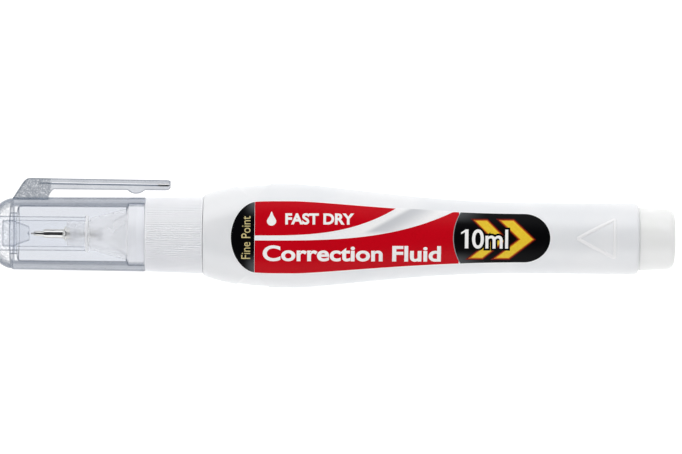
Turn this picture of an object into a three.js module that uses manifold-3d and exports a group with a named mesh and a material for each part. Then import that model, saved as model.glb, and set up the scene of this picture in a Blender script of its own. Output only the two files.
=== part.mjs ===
// Squeeze-bottle correction pen: a spring-loaded metal tip, a ribbed grip collar and a clear clip cap.
// Millimetres, +Z up. The pen lies on its flat back with the tip along -X, the clip along +Y and the
// front label facing +Z. The origin is on the outer face of the back label, under the bottle's widest
// part. Places along the pen are counted from the seam between the grip collar and the bottle.
import * as THREE from "three";
import { mergeVertices } from "three/addons/utils/BufferGeometryUtils.js";
import Module from "manifold-3d";

const wasm = await Module();
wasm.setup();

// ---------------------------------------------------------------- driving dimensions
// Bottle
const bottleLength = 88.9; // seam to the end plug's step
const bottleWall = 1.0;
const shoulderStep = 0.27; // the seam's end stands proud of the collar by this
const bulgeHalfWidth = 10.62;
const bulgeHalfThickness = 8.6;
const panelHalfThickness = 8.2; // the flats moulded into the front and back
const bulgeFront = 15; // widest from here
const bulgeRear = 19; // to here
const tailStart = 66; // round again from here
const tailRadius = 7.22;
const bulgeSquareness = 0.5; // added to the ellipse's power of 2 at the bulge
const tailChamfer = 0.9;
const chamberShoulder = 0.8; // from the shoulder's wall to the full chamber
const neckBore = 4.6;
const neckWall = 1.5;
const neckLength = 9;
const neckBeadHalfLength = 0.8;
const beadHeight = 0.2; // snap beads on the neck, the collar's spigot and the plug

// Direction triangle moulded on the tail
const triangleFromEnd = 4.8; // its base to the bottle's end
const triangleLength = 8.3;
const triangleHalfHeight = 4.35;
const ridgeWidth = 0.6;
const ridgeHeight = 0.2;

// End plug
const plugStep = 0.82; // tail to the plug
const plugLength = 7.4; // the part that shows
const plugTaper = 0.3;
const plugCornerRadius = 1.6;
const plugSpigotLength = 8;
const plugSocketWall = 1.35; // bottle wall round the plug's spigot
const plugWall = 1.2;
const plugBeadFromEnd = 3; // its middle to the bottle's end
const plugBeadHalfLength = 0.5;

// Labels, one on each face
const labelFront = 5.6;
const labelToTail = 18.1; // label's end to the bottle's end
const labelEndLength = 5.4; // length of each rounded end
const labelShare = 0.7; // half height over the bottle's half width
const labelThickness = 0.12;
const labelGap = 0.05;

// Grip collar
const collarLength = 11.8; // the ribbed part that shows
const collarWall = 1.17; // at the front, over the ribs
const collarFlare = 0.33; // added by the rear end
const ribCount = 44;
const ribDepth = 0.16;
const spigotLength = 3.5; // carries the cap
const spigotWall = 0.82;
const spigotBeadHalfLength = 0.4;
const spigotChamfer = 0.25;

// Nozzle, held in the collar by its flange
const flangeThickness = 1;
const gasketThickness = 0.6;
const nozzleBaseLength = 0.3; // ahead of the collar's spigot
const nozzleConeLength = 7.6;
const nozzleConeStep = 0.68; // shoulder at the small end of the cone
const nozzleNoseWall = 1.19;
const nozzleNoseLength = 4.8;
const nozzleNoseChamfer = 0.3;
const funnelDepth = 5.2;

// Metal tip and its valve
const needleRadius = 0.2;
const needleShowing = 0.6;
const needleGrip = 0.55; // inside the plunger's head
const needleRoundLength = 0.15; // of its tip
const plungerHeadLength = 0.8;
const plungerHeadRoom = 0.35; // head to the valve's bore
const plungerHeadChamfer = 0.2;
const plungerHeadFace = 0.7; // radius of the front face over the head's
const plungerStemRadius = 0.35;
const plungerStemShowing = 0.25; // behind the spring seat
const tipTubeWall = 0.28;
const tipTubeLength = 2; // ahead of the ferrule
const tipTubeGrip = 1.8; // inside the ferrule
const tipTubeLip = 0.08; // wall left at the front edge
const tipTubeTaper = 0.35; // length of the front taper
const ferruleWall = 0.3;
const ferruleLength = 4.75; // nozzle face to the step
const ferruleFlareLength = 0.75;
const ferruleFlareWidth = 0.67;
const ferruleFlareEdge = 0.1;
const ferruleChamfer = 0.12;
const ferruleStemLength = 0.7;
const ferruleStemStep = 0.22;
const valveBoreStep = 0.2; // ferrule's stem to the valve's bore
const valveSeatThickness = 0.8;
const valveSeatFlare = 0.42; // needle to the rear of the seat's hole
const springLength = 3.7;
const springTurns = 5;
const springWire = 0.24;
const springRoom = 0.31; // plunger's stem to the coil
const springSeatThickness = 0.8;
const springSeatRoom = 0.15; // plunger's stem to the front of the seat's hole
const springSeatFlare = 0.45; // plunger's stem to the rear of the seat's hole

// Cap
const capMouthWall = 1.12;
const capMouthStep = 0.05; // over the collar's front
const capTaper = 0.18;
const capShoulderRadius = 0.3;
const capEndWall = 1.2;
const capSocketRoom = 0.4; // ahead of the collar's spigot
const capSocketChamfer = 0.3;
const noseSpigotWall = 0.8; // between the sleeve and the tube's end wall
const nozzleRoom = 0.39; // nozzle's base to the cap's bore
const noseLength = 5.2;
const noseStep = 0.22; // tube to the nose, where they meet
const noseCut = 0.93; // share of the dome left in front of its flat end
const nosePower = 1.7; // 2 would be a plain ellipse
const sleeveWall = 0.75;
const sleeveRimStep = 0.3;
const sleeveFloor = 0.8;
const sleeveSunk = 1.5; // into the nose
const sleeveRimLength = 0.4;
const sleeveRimSlope = 0.3;
const sleeveLeadIn = 0.15;
const sleeveMouthGap = 0.35; // rim to the nozzle's cone
const tipRoom = 3.93; // needle's tip to the cap's shoulder
const tipPadGap = 0.35;
const tipPadLength = 2.1; // of its straight part
const tipPadFace = 0.55; // radius of its end face over the pad's
const tipPadDimple = 0.7;
const tipPadDimpleDepth = 0.4;

// Clip
const clipSpace = 1.48; // cap mouth to the clip's underside
const clipThickness = 2.24;
const clipWidth = 4.6;
const clipReach = 32.4; // cap shoulder to the clip's free end
const clipBumpAt = 7; // from the free end
const clipBumpRadius = 2.4;
const clipBumpDrop = 0.75;
const clipPivotAt = 5.4; // from the cap shoulder
const clipRootAt = 0.2; // from the cap shoulder
const clipRootLength = 7.1;
const clipRootRun = 2.8; // length of the sloping front of the root
const clipRootCorner = 0.7;
const clipRootSlope = 0.8; // length of the sloping rear of the root
const clipFreeTaper = 0.5; // under and behind the free end
const clipFreeCorner = 0.7;

// Mixing ball
const ballRadius = 2.4;
const ballFromEnd = 18.9; // its middle to the bottle's end

// Clearances
const seatGap = 0.08; // between pieces that seat on each other
const slideGap = 0.07; // around what slides
const sleeveGap = 0.13; // nozzle's nose to the seal sleeve
const clipGap = 0.3; // around the clip's round heel

// Facets
const roundSides = 36;
const smallSides = 18;
const bottleSides = 40;
const insideSides = 28; // of the bottle's chamber
const outsideStations = 26;
const insideStations = 14;
const shoulderCrowding = 1.35; // of the stations, towards the shoulder

// ---------------------------------------------------------------- derived places
const axisHeight = panelHalfThickness + labelGap + labelThickness;
const widestPlace = (bulgeFront + bulgeRear) / 2;
const triangleBase = bottleLength - triangleFromEnd;
const triangleTip = triangleBase - triangleLength;
const labelLength = bottleLength - labelToTail - labelFront;
const ballAt = bottleLength - ballFromEnd;
const plugRadius = tailRadius - plugStep;
const plugSpigotRadius = tailRadius - plugSocketWall;
const neckRadius = neckBore + neckWall;
const collarBore = neckRadius + beadHeight + seatGap;
const collarFrontRadius = collarBore + collarWall;
const collarRearRadius = collarFrontRadius + collarFlare;
const shoulderRadius = collarRearRadius + shoulderStep;
const capMouthRadius = collarFrontRadius + capMouthStep;
const capFrontRadius = capMouthRadius - capTaper;
const socketRadius = capMouthRadius - capMouthWall;
const spigotRadius = socketRadius - beadHeight / 2 - seatGap;
const nozzleBaseRadius = spigotRadius - spigotWall - seatGap;
const tipTubeRadius = needleRadius + slideGap + tipTubeWall;
const ferruleRadius = tipTubeRadius + seatGap + ferruleWall;
const ferruleFlareRadius = ferruleRadius + ferruleFlareWidth;
const ferruleStemRadius = ferruleRadius + ferruleStemStep;
const valveBore = ferruleStemRadius + valveBoreStep;
const plungerHeadRadius = valveBore - plungerHeadRoom;
const springMeanRadius = plungerStemRadius + springRoom + springWire / 2;
const nozzleNoseRadius = valveBore + seatGap + nozzleNoseWall;
const nozzleConeRadius = nozzleNoseRadius + nozzleConeStep;
const sleeveBore = nozzleNoseRadius + sleeveGap;
const sleeveRadius = sleeveBore + sleeveWall;
const sleeveRimRadius = sleeveRadius + sleeveRimStep;
const noseSpigotRadius = sleeveRadius + noseSpigotWall - seatGap;

const neckFace = -neckLength;
const gasketFront = neckFace - seatGap - gasketThickness;
const flangeRear = gasketFront - seatGap;
const flangeFront = flangeRear - flangeThickness;
const collarFront = -collarLength;
const spigotFront = collarFront - spigotLength;
const coneRear = spigotFront - nozzleBaseLength;
const coneFront = coneRear - nozzleConeLength;
const nozzleFace = coneFront - nozzleNoseLength;
const funnelRear = spigotFront;
const funnelFront = funnelRear - funnelDepth;
const ferruleFront = nozzleFace - ferruleLength;
const tubeFront = ferruleFront - tipTubeLength;
const needleTip = tubeFront - needleShowing;
const valveSeatFront = nozzleFace + ferruleStemLength + seatGap;
const headFront = valveSeatFront + valveSeatThickness + seatGap;
const headRear = headFront + plungerHeadLength;
const pinRear = headFront + needleGrip;
const springFront = headRear + seatGap;
const springSeatFront = springFront + springLength + seatGap;
const stemRear = springSeatFront + springSeatThickness + plungerStemShowing;
const capMouth = collarFront - seatGap;
const capSocketDepth = spigotLength + capSocketRoom;
const capShoulder = needleTip - tipRoom;
const capBore = nozzleBaseRadius + nozzleRoom;
const sleeveMouth = coneFront - sleeveMouthGap;
const sleeveRear = capShoulder - capEndWall - sleeveSunk;
const clipRise = capMouthRadius + clipSpace;

// ---------------------------------------------------------------- materials
const plastic = (color, roughness) => new THREE.MeshStandardMaterial({ color, roughness, metalness: 0 });
const metal = (color, roughness) => new THREE.MeshStandardMaterial({ color, roughness, metalness: 1 });
const clearPlastic = new THREE.MeshStandardMaterial({
  color: 0xdfe6ee, roughness: 0.05, metalness: 0, transparent: true, opacity: 0.35,
});
const whitePlastic = plastic(0xf1f2f3, 0.4);
const collarPlastic = plastic(0xe8e9ec, 0.45);
const frostedPlastic = plastic(0xe9eaea, 0.5);
const labelFilm = plastic(0xc4001c, 0.3);
const rubber = plastic(0x8c9096, 0.8);
const steel = metal(0xc9c9c6, 0.18);

// ---------------------------------------------------------------- solids
const pen = new THREE.Group();
pen.position.set(-widestPlace, 0, axisHeight);

function addPiece(name, geometry, material) {
  const piece = new THREE.Mesh(geometry, material);
  piece.name = name;
  pen.add(piece);
}

function toSolid(geometry) {
  const bare = geometry.clone();
  bare.deleteAttribute("normal");
  bare.deleteAttribute("uv");
  const merged = mergeVertices(bare, 1e-4);
  return new wasm.Manifold(new wasm.Mesh({
    numProp: 3,
    vertProperties: new Float32Array(merged.attributes.position.array),
    triVerts: new Uint32Array(merged.index.array),
  }));
}

function toGeometry(solid) {
  const mesh = solid.getMesh();
  const geometry = new THREE.BufferGeometry();
  geometry.setAttribute("position", new THREE.BufferAttribute(new Float32Array(mesh.vertProperties), 3));
  geometry.setIndex(new THREE.BufferAttribute(new Uint32Array(mesh.triVerts), 1));
  geometry.computeVertexNormals();
  return geometry;
}

// A piece turned about the pen's axis from [x, radius] points. The outline starts and ends on the
// axis, or closes on itself around a bore.
function turned(outline, sides = roundSides) {
  const onAxis = outline[0][1] === 0;
  const closed = onAxis ? outline : [...outline, outline[0]];
  let area = 0;
  for (let i = 0; i < outline.length; i++) {
    const [x0, r0] = outline[i];
    const [x1, r1] = outline[(i + 1) % outline.length];
    area += x0 * r1 - x1 * r0;
  }
  const points = closed.map(([x, r]) => new THREE.Vector2(r, x));
  if (area > 0) points.reverse();
  return new THREE.LatheGeometry(points, sides).rotateZ(-Math.PI / 2);
}

// Points of a quarter-round corner from one angle to another, in degrees.
function corner(x, r, radius, from, to, steps = 4) {
  const points = [];
  for (let i = 0; i <= steps; i++) {
    const angle = THREE.MathUtils.degToRad(from + ((to - from) * i) / steps);
    points.push([x + radius * Math.cos(angle), r + radius * Math.sin(angle)]);
  }
  return points;
}

// A closed solid through rings of points that all have the same count, capped at both ends.
function lofted(rings) {
  const count = rings[0].length;
  const positions = rings.flat().flatMap((p) => [p.x, p.y, p.z]);
  const index = [];
  for (let i = 0; i < rings.length - 1; i++) {
    for (let j = 0; j < count; j++) {
      const a = i * count + j;
      const b = i * count + ((j + 1) % count);
      index.push(a, b, b + count, a, b + count, a + count);
    }
  }
  const last = (rings.length - 1) * count;
  for (let j = 1; j < count - 1; j++) {
    index.push(0, j + 1, j);
    index.push(last, last + j, last + j + 1);
  }
  const geometry = new THREE.BufferGeometry();
  geometry.setAttribute("position", new THREE.Float32BufferAttribute(positions, 3));
  geometry.setIndex(index);
  const solid = toSolid(geometry);
  return solid.volume() < 0 ? toSolid(flipped(geometry)) : solid;
}

function flipped(geometry) {
  const index = geometry.index.array;
  for (let i = 0; i < index.length; i += 3) [index[i + 1], index[i + 2]] = [index[i + 2], index[i + 1]];
  return geometry;
}

// An outline in the XY plane, made into a slab of the given width centred on the pen's axis.
function slab(shape, width, curveSegments = 8) {
  const geometry = new THREE.ExtrudeGeometry(shape, { depth: width, bevelEnabled: false, curveSegments });
  return geometry.translate(0, 0, -width / 2);
}

// ---------------------------------------------------------------- the bottle's outer form
const smooth = (t) => t * t * (3 - 2 * t);
const shoulderBias = 0.8;
const widthBias = 0.7; // the waist narrows sooner than it thins
const thicknessBias = 1.05;

// How far from the round end (0) to the full bulge (1) the section at x is.
function bulge(x, bias) {
  if (x < bulgeFront) return Math.sin((Math.PI / 2) * Math.max(0, x / bulgeFront) ** shoulderBias);
  if (x < bulgeRear) return 1;
  const t = Math.min(1, (x - bulgeRear) / (tailStart - bulgeRear));
  return 1 - smooth(t ** bias);
}

function section(x, grow = 0) {
  const share = bulge(x, widthBias);
  const round = x < bulgeFront ? shoulderRadius : tailRadius;
  return {
    halfWidth: round + (bulgeHalfWidth - round) * share + grow,
    halfThickness: round + (bulgeHalfThickness - round) * bulge(x, thicknessBias) + grow,
    power: 2 + bulgeSquareness * share,
    flat: panelHalfThickness + grow,
  };
}

function bottleRing(x, grow = 0, sides = bottleSides) {
  const { halfWidth, halfThickness, power, flat } = section(x, grow);
  const ring = [];
  for (let i = 0; i < sides; i++) {
    const angle = (2 * Math.PI * i) / sides;
    const c = Math.cos(angle);
    const s = Math.sin(angle);
    const y = halfWidth * Math.sign(c) * Math.abs(c) ** (2 / power);
    const z = halfThickness * Math.sign(s) * Math.abs(s) ** (2 / power);
    ring.push(new THREE.Vector3(x, y, THREE.MathUtils.clamp(z, -flat, flat)));
  }
  return ring;
}

function roundRing(x, radius, sides = bottleSides) {
  const ring = [];
  for (let i = 0; i < sides; i++) {
    const angle = (2 * Math.PI * i) / sides;
    ring.push(new THREE.Vector3(x, radius * Math.cos(angle), radius * Math.sin(angle)));
  }
  return ring;
}

// Stations along the bottle, closer together over the shoulder where it turns fastest.
function stations(from, to, count) {
  const places = [];
  for (let i = 0; i <= count; i++) places.push(from + (to - from) * (i / count) ** shoulderCrowding);
  return places;
}

// The bottle's outer form, grown all round.
function bodyForm(grow) {
  return lofted(stations(0, bottleLength - tailChamfer, outsideStations).map((x) => bottleRing(x, grow)));
}

// ---------------------------------------------------------------- pieces of the body
function bottle() {
  const bodyEnd = bottleLength - tailChamfer;
  const beadMiddle = -neckLength / 2;
  const outside = lofted([
    roundRing(-neckLength, neckRadius),
    roundRing(beadMiddle - neckBeadHalfLength, neckRadius),
    roundRing(beadMiddle, neckRadius + beadHeight),
    roundRing(beadMiddle + neckBeadHalfLength, neckRadius),
    roundRing(0, neckRadius),
    ...stations(0, bodyEnd, outsideStations).map((x) => bottleRing(x)),
    roundRing(bottleLength, tailRadius - tailChamfer * 0.85),
  ]);
  const mouthDepth = plugSpigotLength + 2 * seatGap;
  const chamberEnd = bottleLength - mouthDepth;
  const chamber = stations(bottleWall + chamberShoulder, chamberEnd - 1, insideStations);
  const inside = lofted([
    roundRing(-neckLength - 1, neckBore, insideSides),
    roundRing(bottleWall, neckBore, insideSides),
    ...chamber.map((x) => bottleRing(x, -bottleWall, insideSides)),
    roundRing(chamberEnd, plugSpigotRadius + seatGap, insideSides),
    roundRing(bottleLength + 1, plugSpigotRadius + seatGap, insideSides),
  ]);
  return toGeometry(outside.subtract(inside).add(directionTriangle()));
}

// A raised outline of a triangle that follows the tail's surface.
function directionTriangle() {
  const slope = triangleHalfHeight / triangleLength;
  const outline = (inset) => {
    const tip = triangleTip + inset / Math.sin(Math.atan(slope));
    const base = triangleBase - inset;
    const half = slope * (base - tip);
    return [new THREE.Vector2(tip, 0), new THREE.Vector2(base, -half), new THREE.Vector2(base, half)];
  };
  const shape = new THREE.Shape(outline(0));
  shape.holes.push(new THREE.Path(outline(ridgeWidth)));
  const depth = tailRadius + 1;
  const prism = toSolid(new THREE.ExtrudeGeometry(shape, { depth, bevelEnabled: false }));
  const skin = [triangleTip - 2, triangleBase + 2];
  const proud = lofted(skin.map((x) => bottleRing(x, ridgeHeight)));
  const sunk = lofted(skin.map((x) => bottleRing(x, -bottleWall / 2)));
  return prism.intersect(proud.subtract(sunk));
}

function endPlug() {
  const front = bottleLength + seatGap;
  const rear = front + plugLength;
  const spigotFrontX = bottleLength - plugSpigotLength;
  const cup = plugSpigotRadius - plugWall;
  const beadMiddle = bottleLength - plugBeadFromEnd;
  return turned([
    [rear, 0],
    ...corner(rear - plugCornerRadius, plugRadius - plugTaper - plugCornerRadius, plugCornerRadius, 0, 90),
    [front, plugRadius],
    [front, plugSpigotRadius - seatGap],
    [beadMiddle + plugBeadHalfLength, plugSpigotRadius - seatGap],
    [beadMiddle, plugSpigotRadius],
    [beadMiddle - plugBeadHalfLength, plugSpigotRadius - seatGap],
    [spigotFrontX, plugSpigotRadius - seatGap],
    [spigotFrontX, cup],
    [rear - plugWall, cup],
    [rear - plugWall, 0],
  ]);
}

// Half the height of a label at x: a fixed share of the bottle's width, rounded off at both ends.
function labelHalfHeight(x) {
  const fromEnd = Math.min(x - labelFront, labelFront + labelLength - x);
  const end = Math.min(1, fromEnd / labelEndLength);
  return labelShare * section(x).halfWidth * Math.sqrt(1 - (1 - end) ** 2);
}

// A film that follows the bottle's face: side is +1 for the front, -1 for the back.
function label(side) {
  const columns = 36;
  const crowding = 0.6; // towards the rounded ends
  const edge = [];
  for (let i = 1; i < columns; i++) {
    const even = i / columns;
    const along = (crowding * (1 - Math.cos(Math.PI * even))) / 2 + (1 - crowding) * even;
    const x = labelFront + labelLength * along;
    edge.push(new THREE.Vector2(x, labelHalfHeight(x)));
  }
  const mirrored = edge.map((p) => new THREE.Vector2(p.x, -p.y));
  const front = new THREE.Vector2(labelFront, 0);
  const rear = new THREE.Vector2(labelFront + labelLength, 0);
  const shape = new THREE.Shape([front, ...mirrored, rear, ...edge.reverse()]);
  const depth = bulgeHalfThickness + 1;
  const prism = toSolid(new THREE.ExtrudeGeometry(shape, { depth, bevelEnabled: false }));
  const film = bodyForm(labelGap + labelThickness).subtract(bodyForm(labelGap)).intersect(prism);
  return toGeometry(film).rotateX(side > 0 ? 0 : Math.PI);
}

function gripCollar() {
  const ribbedRing = (x, radius) => {
    const ring = [];
    for (let i = 0; i < 2 * ribCount; i++) {
      const angle = (Math.PI * i) / ribCount;
      const r = i % 2 ? radius - ribDepth : radius;
      ring.push(new THREE.Vector3(x, r * Math.cos(angle), r * Math.sin(angle)));
    }
    return ring;
  };
  const grip = lofted([ribbedRing(collarFront, collarFrontRadius), ribbedRing(-seatGap, collarRearRadius)]);
  const beadMiddle = collarFront - spigotLength / 2;
  const spigot = toSolid(turned([
    [spigotFront, 0],
    [spigotFront, spigotRadius - spigotChamfer],
    [spigotFront + spigotChamfer, spigotRadius],
    [beadMiddle - spigotBeadHalfLength, spigotRadius],
    [beadMiddle, spigotRadius + beadHeight / 2],
    [beadMiddle + spigotBeadHalfLength, spigotRadius],
    [collarFront + 1, spigotRadius],
    [collarFront + 1, 0],
  ]));
  const bore = toSolid(turned([
    [spigotFront - 1, 0],
    [spigotFront - 1, nozzleBaseRadius + seatGap],
    [flangeFront - seatGap, nozzleBaseRadius + seatGap],
    [flangeFront - seatGap, collarBore],
    [1, collarBore],
    [1, 0],
  ]));
  return toGeometry(grip.add(spigot).subtract(bore));
}

function neckGasket() {
  return turned([
    [gasketFront, neckBore],
    [gasketFront, neckRadius],
    [neckFace - seatGap, neckRadius],
    [neckFace - seatGap, neckBore],
  ]);
}

function nozzle() {
  return turned([
    [nozzleFace, ferruleStemRadius + seatGap],
    [nozzleFace, nozzleNoseRadius - nozzleNoseChamfer],
    [nozzleFace + nozzleNoseChamfer, nozzleNoseRadius],
    [coneFront, nozzleNoseRadius],
    [coneFront, nozzleConeRadius],
    [coneRear, nozzleBaseRadius],
    [flangeFront, nozzleBaseRadius],
    [flangeFront, neckRadius],
    [flangeRear, neckRadius],
    [flangeRear, neckBore],
    [funnelRear, neckBore],
    [funnelFront, valveBore + seatGap],
    [nozzleFace + ferruleStemLength, valveBore + seatGap],
    [nozzleFace + ferruleStemLength, ferruleStemRadius + seatGap],
  ]);
}

function tipFerrule() {
  const flareRear = nozzleFace - seatGap;
  const bore = tipTubeRadius + seatGap;
  const step = ferruleFront + tipTubeGrip;
  const through = needleRadius + slideGap;
  return turned([
    [ferruleFront, bore],
    [ferruleFront, ferruleRadius - ferruleChamfer],
    [ferruleFront + ferruleChamfer, ferruleRadius],
    [flareRear - ferruleFlareLength, ferruleRadius],
    [flareRear - ferruleFlareEdge, ferruleFlareRadius],
    [flareRear, ferruleFlareRadius],
    [flareRear, ferruleStemRadius],
    [nozzleFace + ferruleStemLength, ferruleStemRadius],
    [nozzleFace + ferruleStemLength, through],
    [step, through],
    [step, bore],
  ], smallSides);
}

function tipTube() {
  const rear = ferruleFront + tipTubeGrip - seatGap;
  const bore = needleRadius + slideGap;
  return turned([
    [tubeFront, bore],
    [tubeFront, bore + tipTubeLip],
    [tubeFront + tipTubeTaper, tipTubeRadius],
    [rear, tipTubeRadius],
    [rear, bore],
  ], smallSides);
}

function valveSeat() {
  const rear = valveSeatFront + valveSeatThickness;
  return turned([
    [valveSeatFront, needleRadius + slideGap],
    [valveSeatFront, valveBore],
    [rear, valveBore],
    [rear, needleRadius + valveSeatFlare],
  ], smallSides);
}

// The needle is a wire pressed into the plunger's head.
function valvePin() {
  return turned([
    [needleTip, 0],
    [needleTip + needleRoundLength / 5, needleRadius * 0.6],
    [needleTip + needleRoundLength, needleRadius],
    [pinRear, needleRadius],
    [pinRear, 0],
  ], smallSides);
}

function valvePlunger() {
  const bore = needleRadius + seatGap;
  return turned([
    [pinRear + seatGap, 0],
    [pinRear + seatGap, bore],
    [headFront, bore],
    [headFront, plungerHeadRadius * plungerHeadFace],
    [headFront + plungerHeadChamfer, plungerHeadRadius],
    [headRear, plungerHeadRadius],
    [headRear, plungerStemRadius],
    [stemRear, plungerStemRadius],
    [stemRear, 0],
  ], smallSides);
}

class Helix extends THREE.Curve {
  getPoint(t, target = new THREE.Vector3()) {
    const turn = 2 * Math.PI * springTurns * t;
    const start = springFront + springWire / 2;
    const x = start + (springLength - springWire) * t;
    return target.set(x, springMeanRadius * Math.cos(turn), springMeanRadius * Math.sin(turn));
  }
}

function valveSpring() {
  const wire = new THREE.Shape();
  wire.absarc(0, 0, springWire / 2, 0, 2 * Math.PI);
  const steps = springTurns * 12;
  return new THREE.ExtrudeGeometry(wire, { steps, extrudePath: new Helix(), curveSegments: 3 });
}

function springSeat() {
  const rear = springSeatFront + springSeatThickness;
  return turned([
    [springSeatFront, plungerStemRadius + springSeatRoom],
    [springSeatFront, valveBore],
    [rear, valveBore],
    [rear, plungerStemRadius + springSeatFlare],
  ], smallSides);
}

function mixingBall() {
  const floor = -(tailRadius - bottleWall);
  const height = floor + ballRadius + 2 * seatGap;
  return new THREE.SphereGeometry(ballRadius, 16, 12).translate(ballAt, 0, height);
}

// ---------------------------------------------------------------- pieces of the cap
function capTube() {
  const endWall = capShoulder + capEndWall;
  const tube = toSolid(turned([
    [capMouth, socketRadius],
    [capMouth, capMouthRadius],
    ...corner(
      capShoulder + capShoulderRadius, capFrontRadius - capShoulderRadius, capShoulderRadius, 90, 180,
    ),
    [capShoulder, noseSpigotRadius + seatGap],
    [endWall, noseSpigotRadius + seatGap],
    [endWall, capBore],
    [capMouth - capSocketDepth, capBore],
    [capMouth - capSocketDepth + capSocketChamfer, socketRadius],
  ], roundSides));
  const hollow = toSolid(turned([
    [endWall, 0],
    [endWall, capBore],
    [capMouth, capBore],
    [capMouth, 0],
  ]));
  const root = toSolid(slab(clipRoot(), clipWidth)).subtract(hollow);
  return toGeometry(tube.add(root));
}

// The root of the clip stands on the tube and wraps the front of the clip's round heel.
function clipRoot() {
  const pivot = clipPivot();
  const top = clipRise + clipThickness;
  const front = capShoulder + clipRootAt;
  const rear = capShoulder + clipRootLength;
  const sunk = (capBore + capFrontRadius) / 2;
  const hollow = clipThickness / 2 + clipGap;
  const crest = front + clipRootRun;
  const shape = new THREE.Shape();
  shape.moveTo(front, sunk);
  shape.lineTo(front, capFrontRadius - capShoulderRadius);
  shape.lineTo(crest - clipRootCorner, top - clipRootCorner);
  shape.quadraticCurveTo(crest, top, crest + 2 * clipRootCorner, top);
  const meetsTop = Math.PI - Math.asin(clipThickness / 2 / hollow);
  shape.lineTo(pivot.x + hollow * Math.cos(meetsTop), top);
  shape.absarc(pivot.x, pivot.y, hollow, meetsTop, (3 * Math.PI) / 2, false);
  shape.lineTo(rear - clipRootSlope, pivot.y - hollow);
  shape.lineTo(rear, capFrontRadius);
  shape.lineTo(rear, sunk);
  shape.closePath();
  return shape;
}

const clipPivot = () => new THREE.Vector2(capShoulder + clipPivotAt, clipRise + clipThickness / 2);

function capClip() {
  const pivot = clipPivot();
  const top = clipRise + clipThickness;
  const free = capShoulder + clipReach;
  const bump = free - clipBumpAt;
  const bumpHalf = Math.sqrt(clipBumpRadius ** 2 - (clipBumpRadius - clipBumpDrop) ** 2);
  const bumpCentre = clipRise - clipBumpDrop + clipBumpRadius;
  const sweep = Math.asin(bumpHalf / clipBumpRadius);
  const shape = new THREE.Shape();
  shape.moveTo(pivot.x, top);
  shape.absarc(pivot.x, pivot.y, clipThickness / 2, Math.PI / 2, (3 * Math.PI) / 2, false);
  shape.lineTo(bump - bumpHalf, clipRise);
  shape.absarc(bump, bumpCentre, clipBumpRadius, -Math.PI / 2 - sweep, -Math.PI / 2 + sweep, false);
  shape.lineTo(free - clipFreeTaper, clipRise + clipFreeTaper / 2);
  shape.lineTo(free, clipRise + clipFreeCorner);
  shape.lineTo(free, top - clipFreeCorner);
  shape.lineTo(free - clipFreeCorner, top - clipFreeTaper / 2);
  shape.closePath();
  return slab(shape, clipWidth);
}

function capNose() {
  const rear = capShoulder - seatGap;
  const seat = sleeveRadius + seatGap;
  const steps = 8;
  const noseRadius = capFrontRadius - noseStep;
  const dome = [];
  for (let i = steps; i >= 0; i--) {
    const share = noseCut * Math.sin((Math.PI / 2) * (i / steps));
    const radius = noseRadius * (1 - share ** nosePower) ** (1 / nosePower);
    dome.push([rear - (noseLength * share) / noseCut, radius]);
  }
  return turned([
    [rear - noseLength, 0],
    ...dome,
    [rear, noseSpigotRadius],
    [capShoulder + capEndWall, noseSpigotRadius],
    [capShoulder + capEndWall, seat],
    [sleeveRear - seatGap, seat],
    [sleeveRear - seatGap, 0],
  ]);
}

function sealSleeve() {
  return turned([
    [sleeveRear, 0],
    [sleeveRear, sleeveRadius],
    [sleeveMouth - sleeveRimLength - sleeveRimSlope, sleeveRadius],
    [sleeveMouth - sleeveRimLength, sleeveRimRadius],
    [sleeveMouth, sleeveRimRadius],
    [sleeveMouth, sleeveBore + sleeveLeadIn],
    [sleeveMouth - 2 * sleeveLeadIn, sleeveBore],
    [sleeveRear + sleeveFloor, sleeveBore],
    [sleeveRear + sleeveFloor, 0],
  ]);
}

function tipPad() {
  const rear = needleTip - tipPadGap;
  const front = sleeveRear + sleeveFloor + seatGap;
  const padRadius = sleeveBore - seatGap;
  return turned([
    [front, 0],
    [front, padRadius],
    [front + tipPadLength, padRadius],
    [rear, padRadius * tipPadFace],
    [rear, tipPadDimple],
    [rear - tipPadDimpleDepth, 0],
  ], smallSides);
}

// ---------------------------------------------------------------- the assembly
addPiece("bottle", bottle(), whitePlastic);
addPiece("end_plug", endPlug(), frostedPlastic);
addPiece("front_label", label(1), labelFilm);
addPiece("back_label", label(-1), labelFilm);
addPiece("grip_collar", gripCollar(), collarPlastic);
addPiece("neck_gasket", neckGasket(), rubber);
addPiece("nozzle", nozzle(), frostedPlastic);
addPiece("tip_ferrule", tipFerrule(), steel);
addPiece("tip_tube", tipTube(), steel);
addPiece("valve_seat", valveSeat(), whitePlastic);
addPiece("valve_pin", valvePin(), steel);
addPiece("valve_plunger", valvePlunger(), whitePlastic);
addPiece("valve_spring", valveSpring(), steel);
addPiece("spring_seat", springSeat(), whitePlastic);
addPiece("mixing_ball", mixingBall(), steel);
addPiece("cap_tube", capTube(), clearPlastic);
addPiece("cap_clip", capClip(), clearPlastic);
addPiece("cap_nose", capNose(), clearPlastic);
addPiece("seal_sleeve", sealSleeve(), clearPlastic);
addPiece("tip_pad", tipPad(), rubber);

export default pen;
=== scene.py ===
import math

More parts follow.
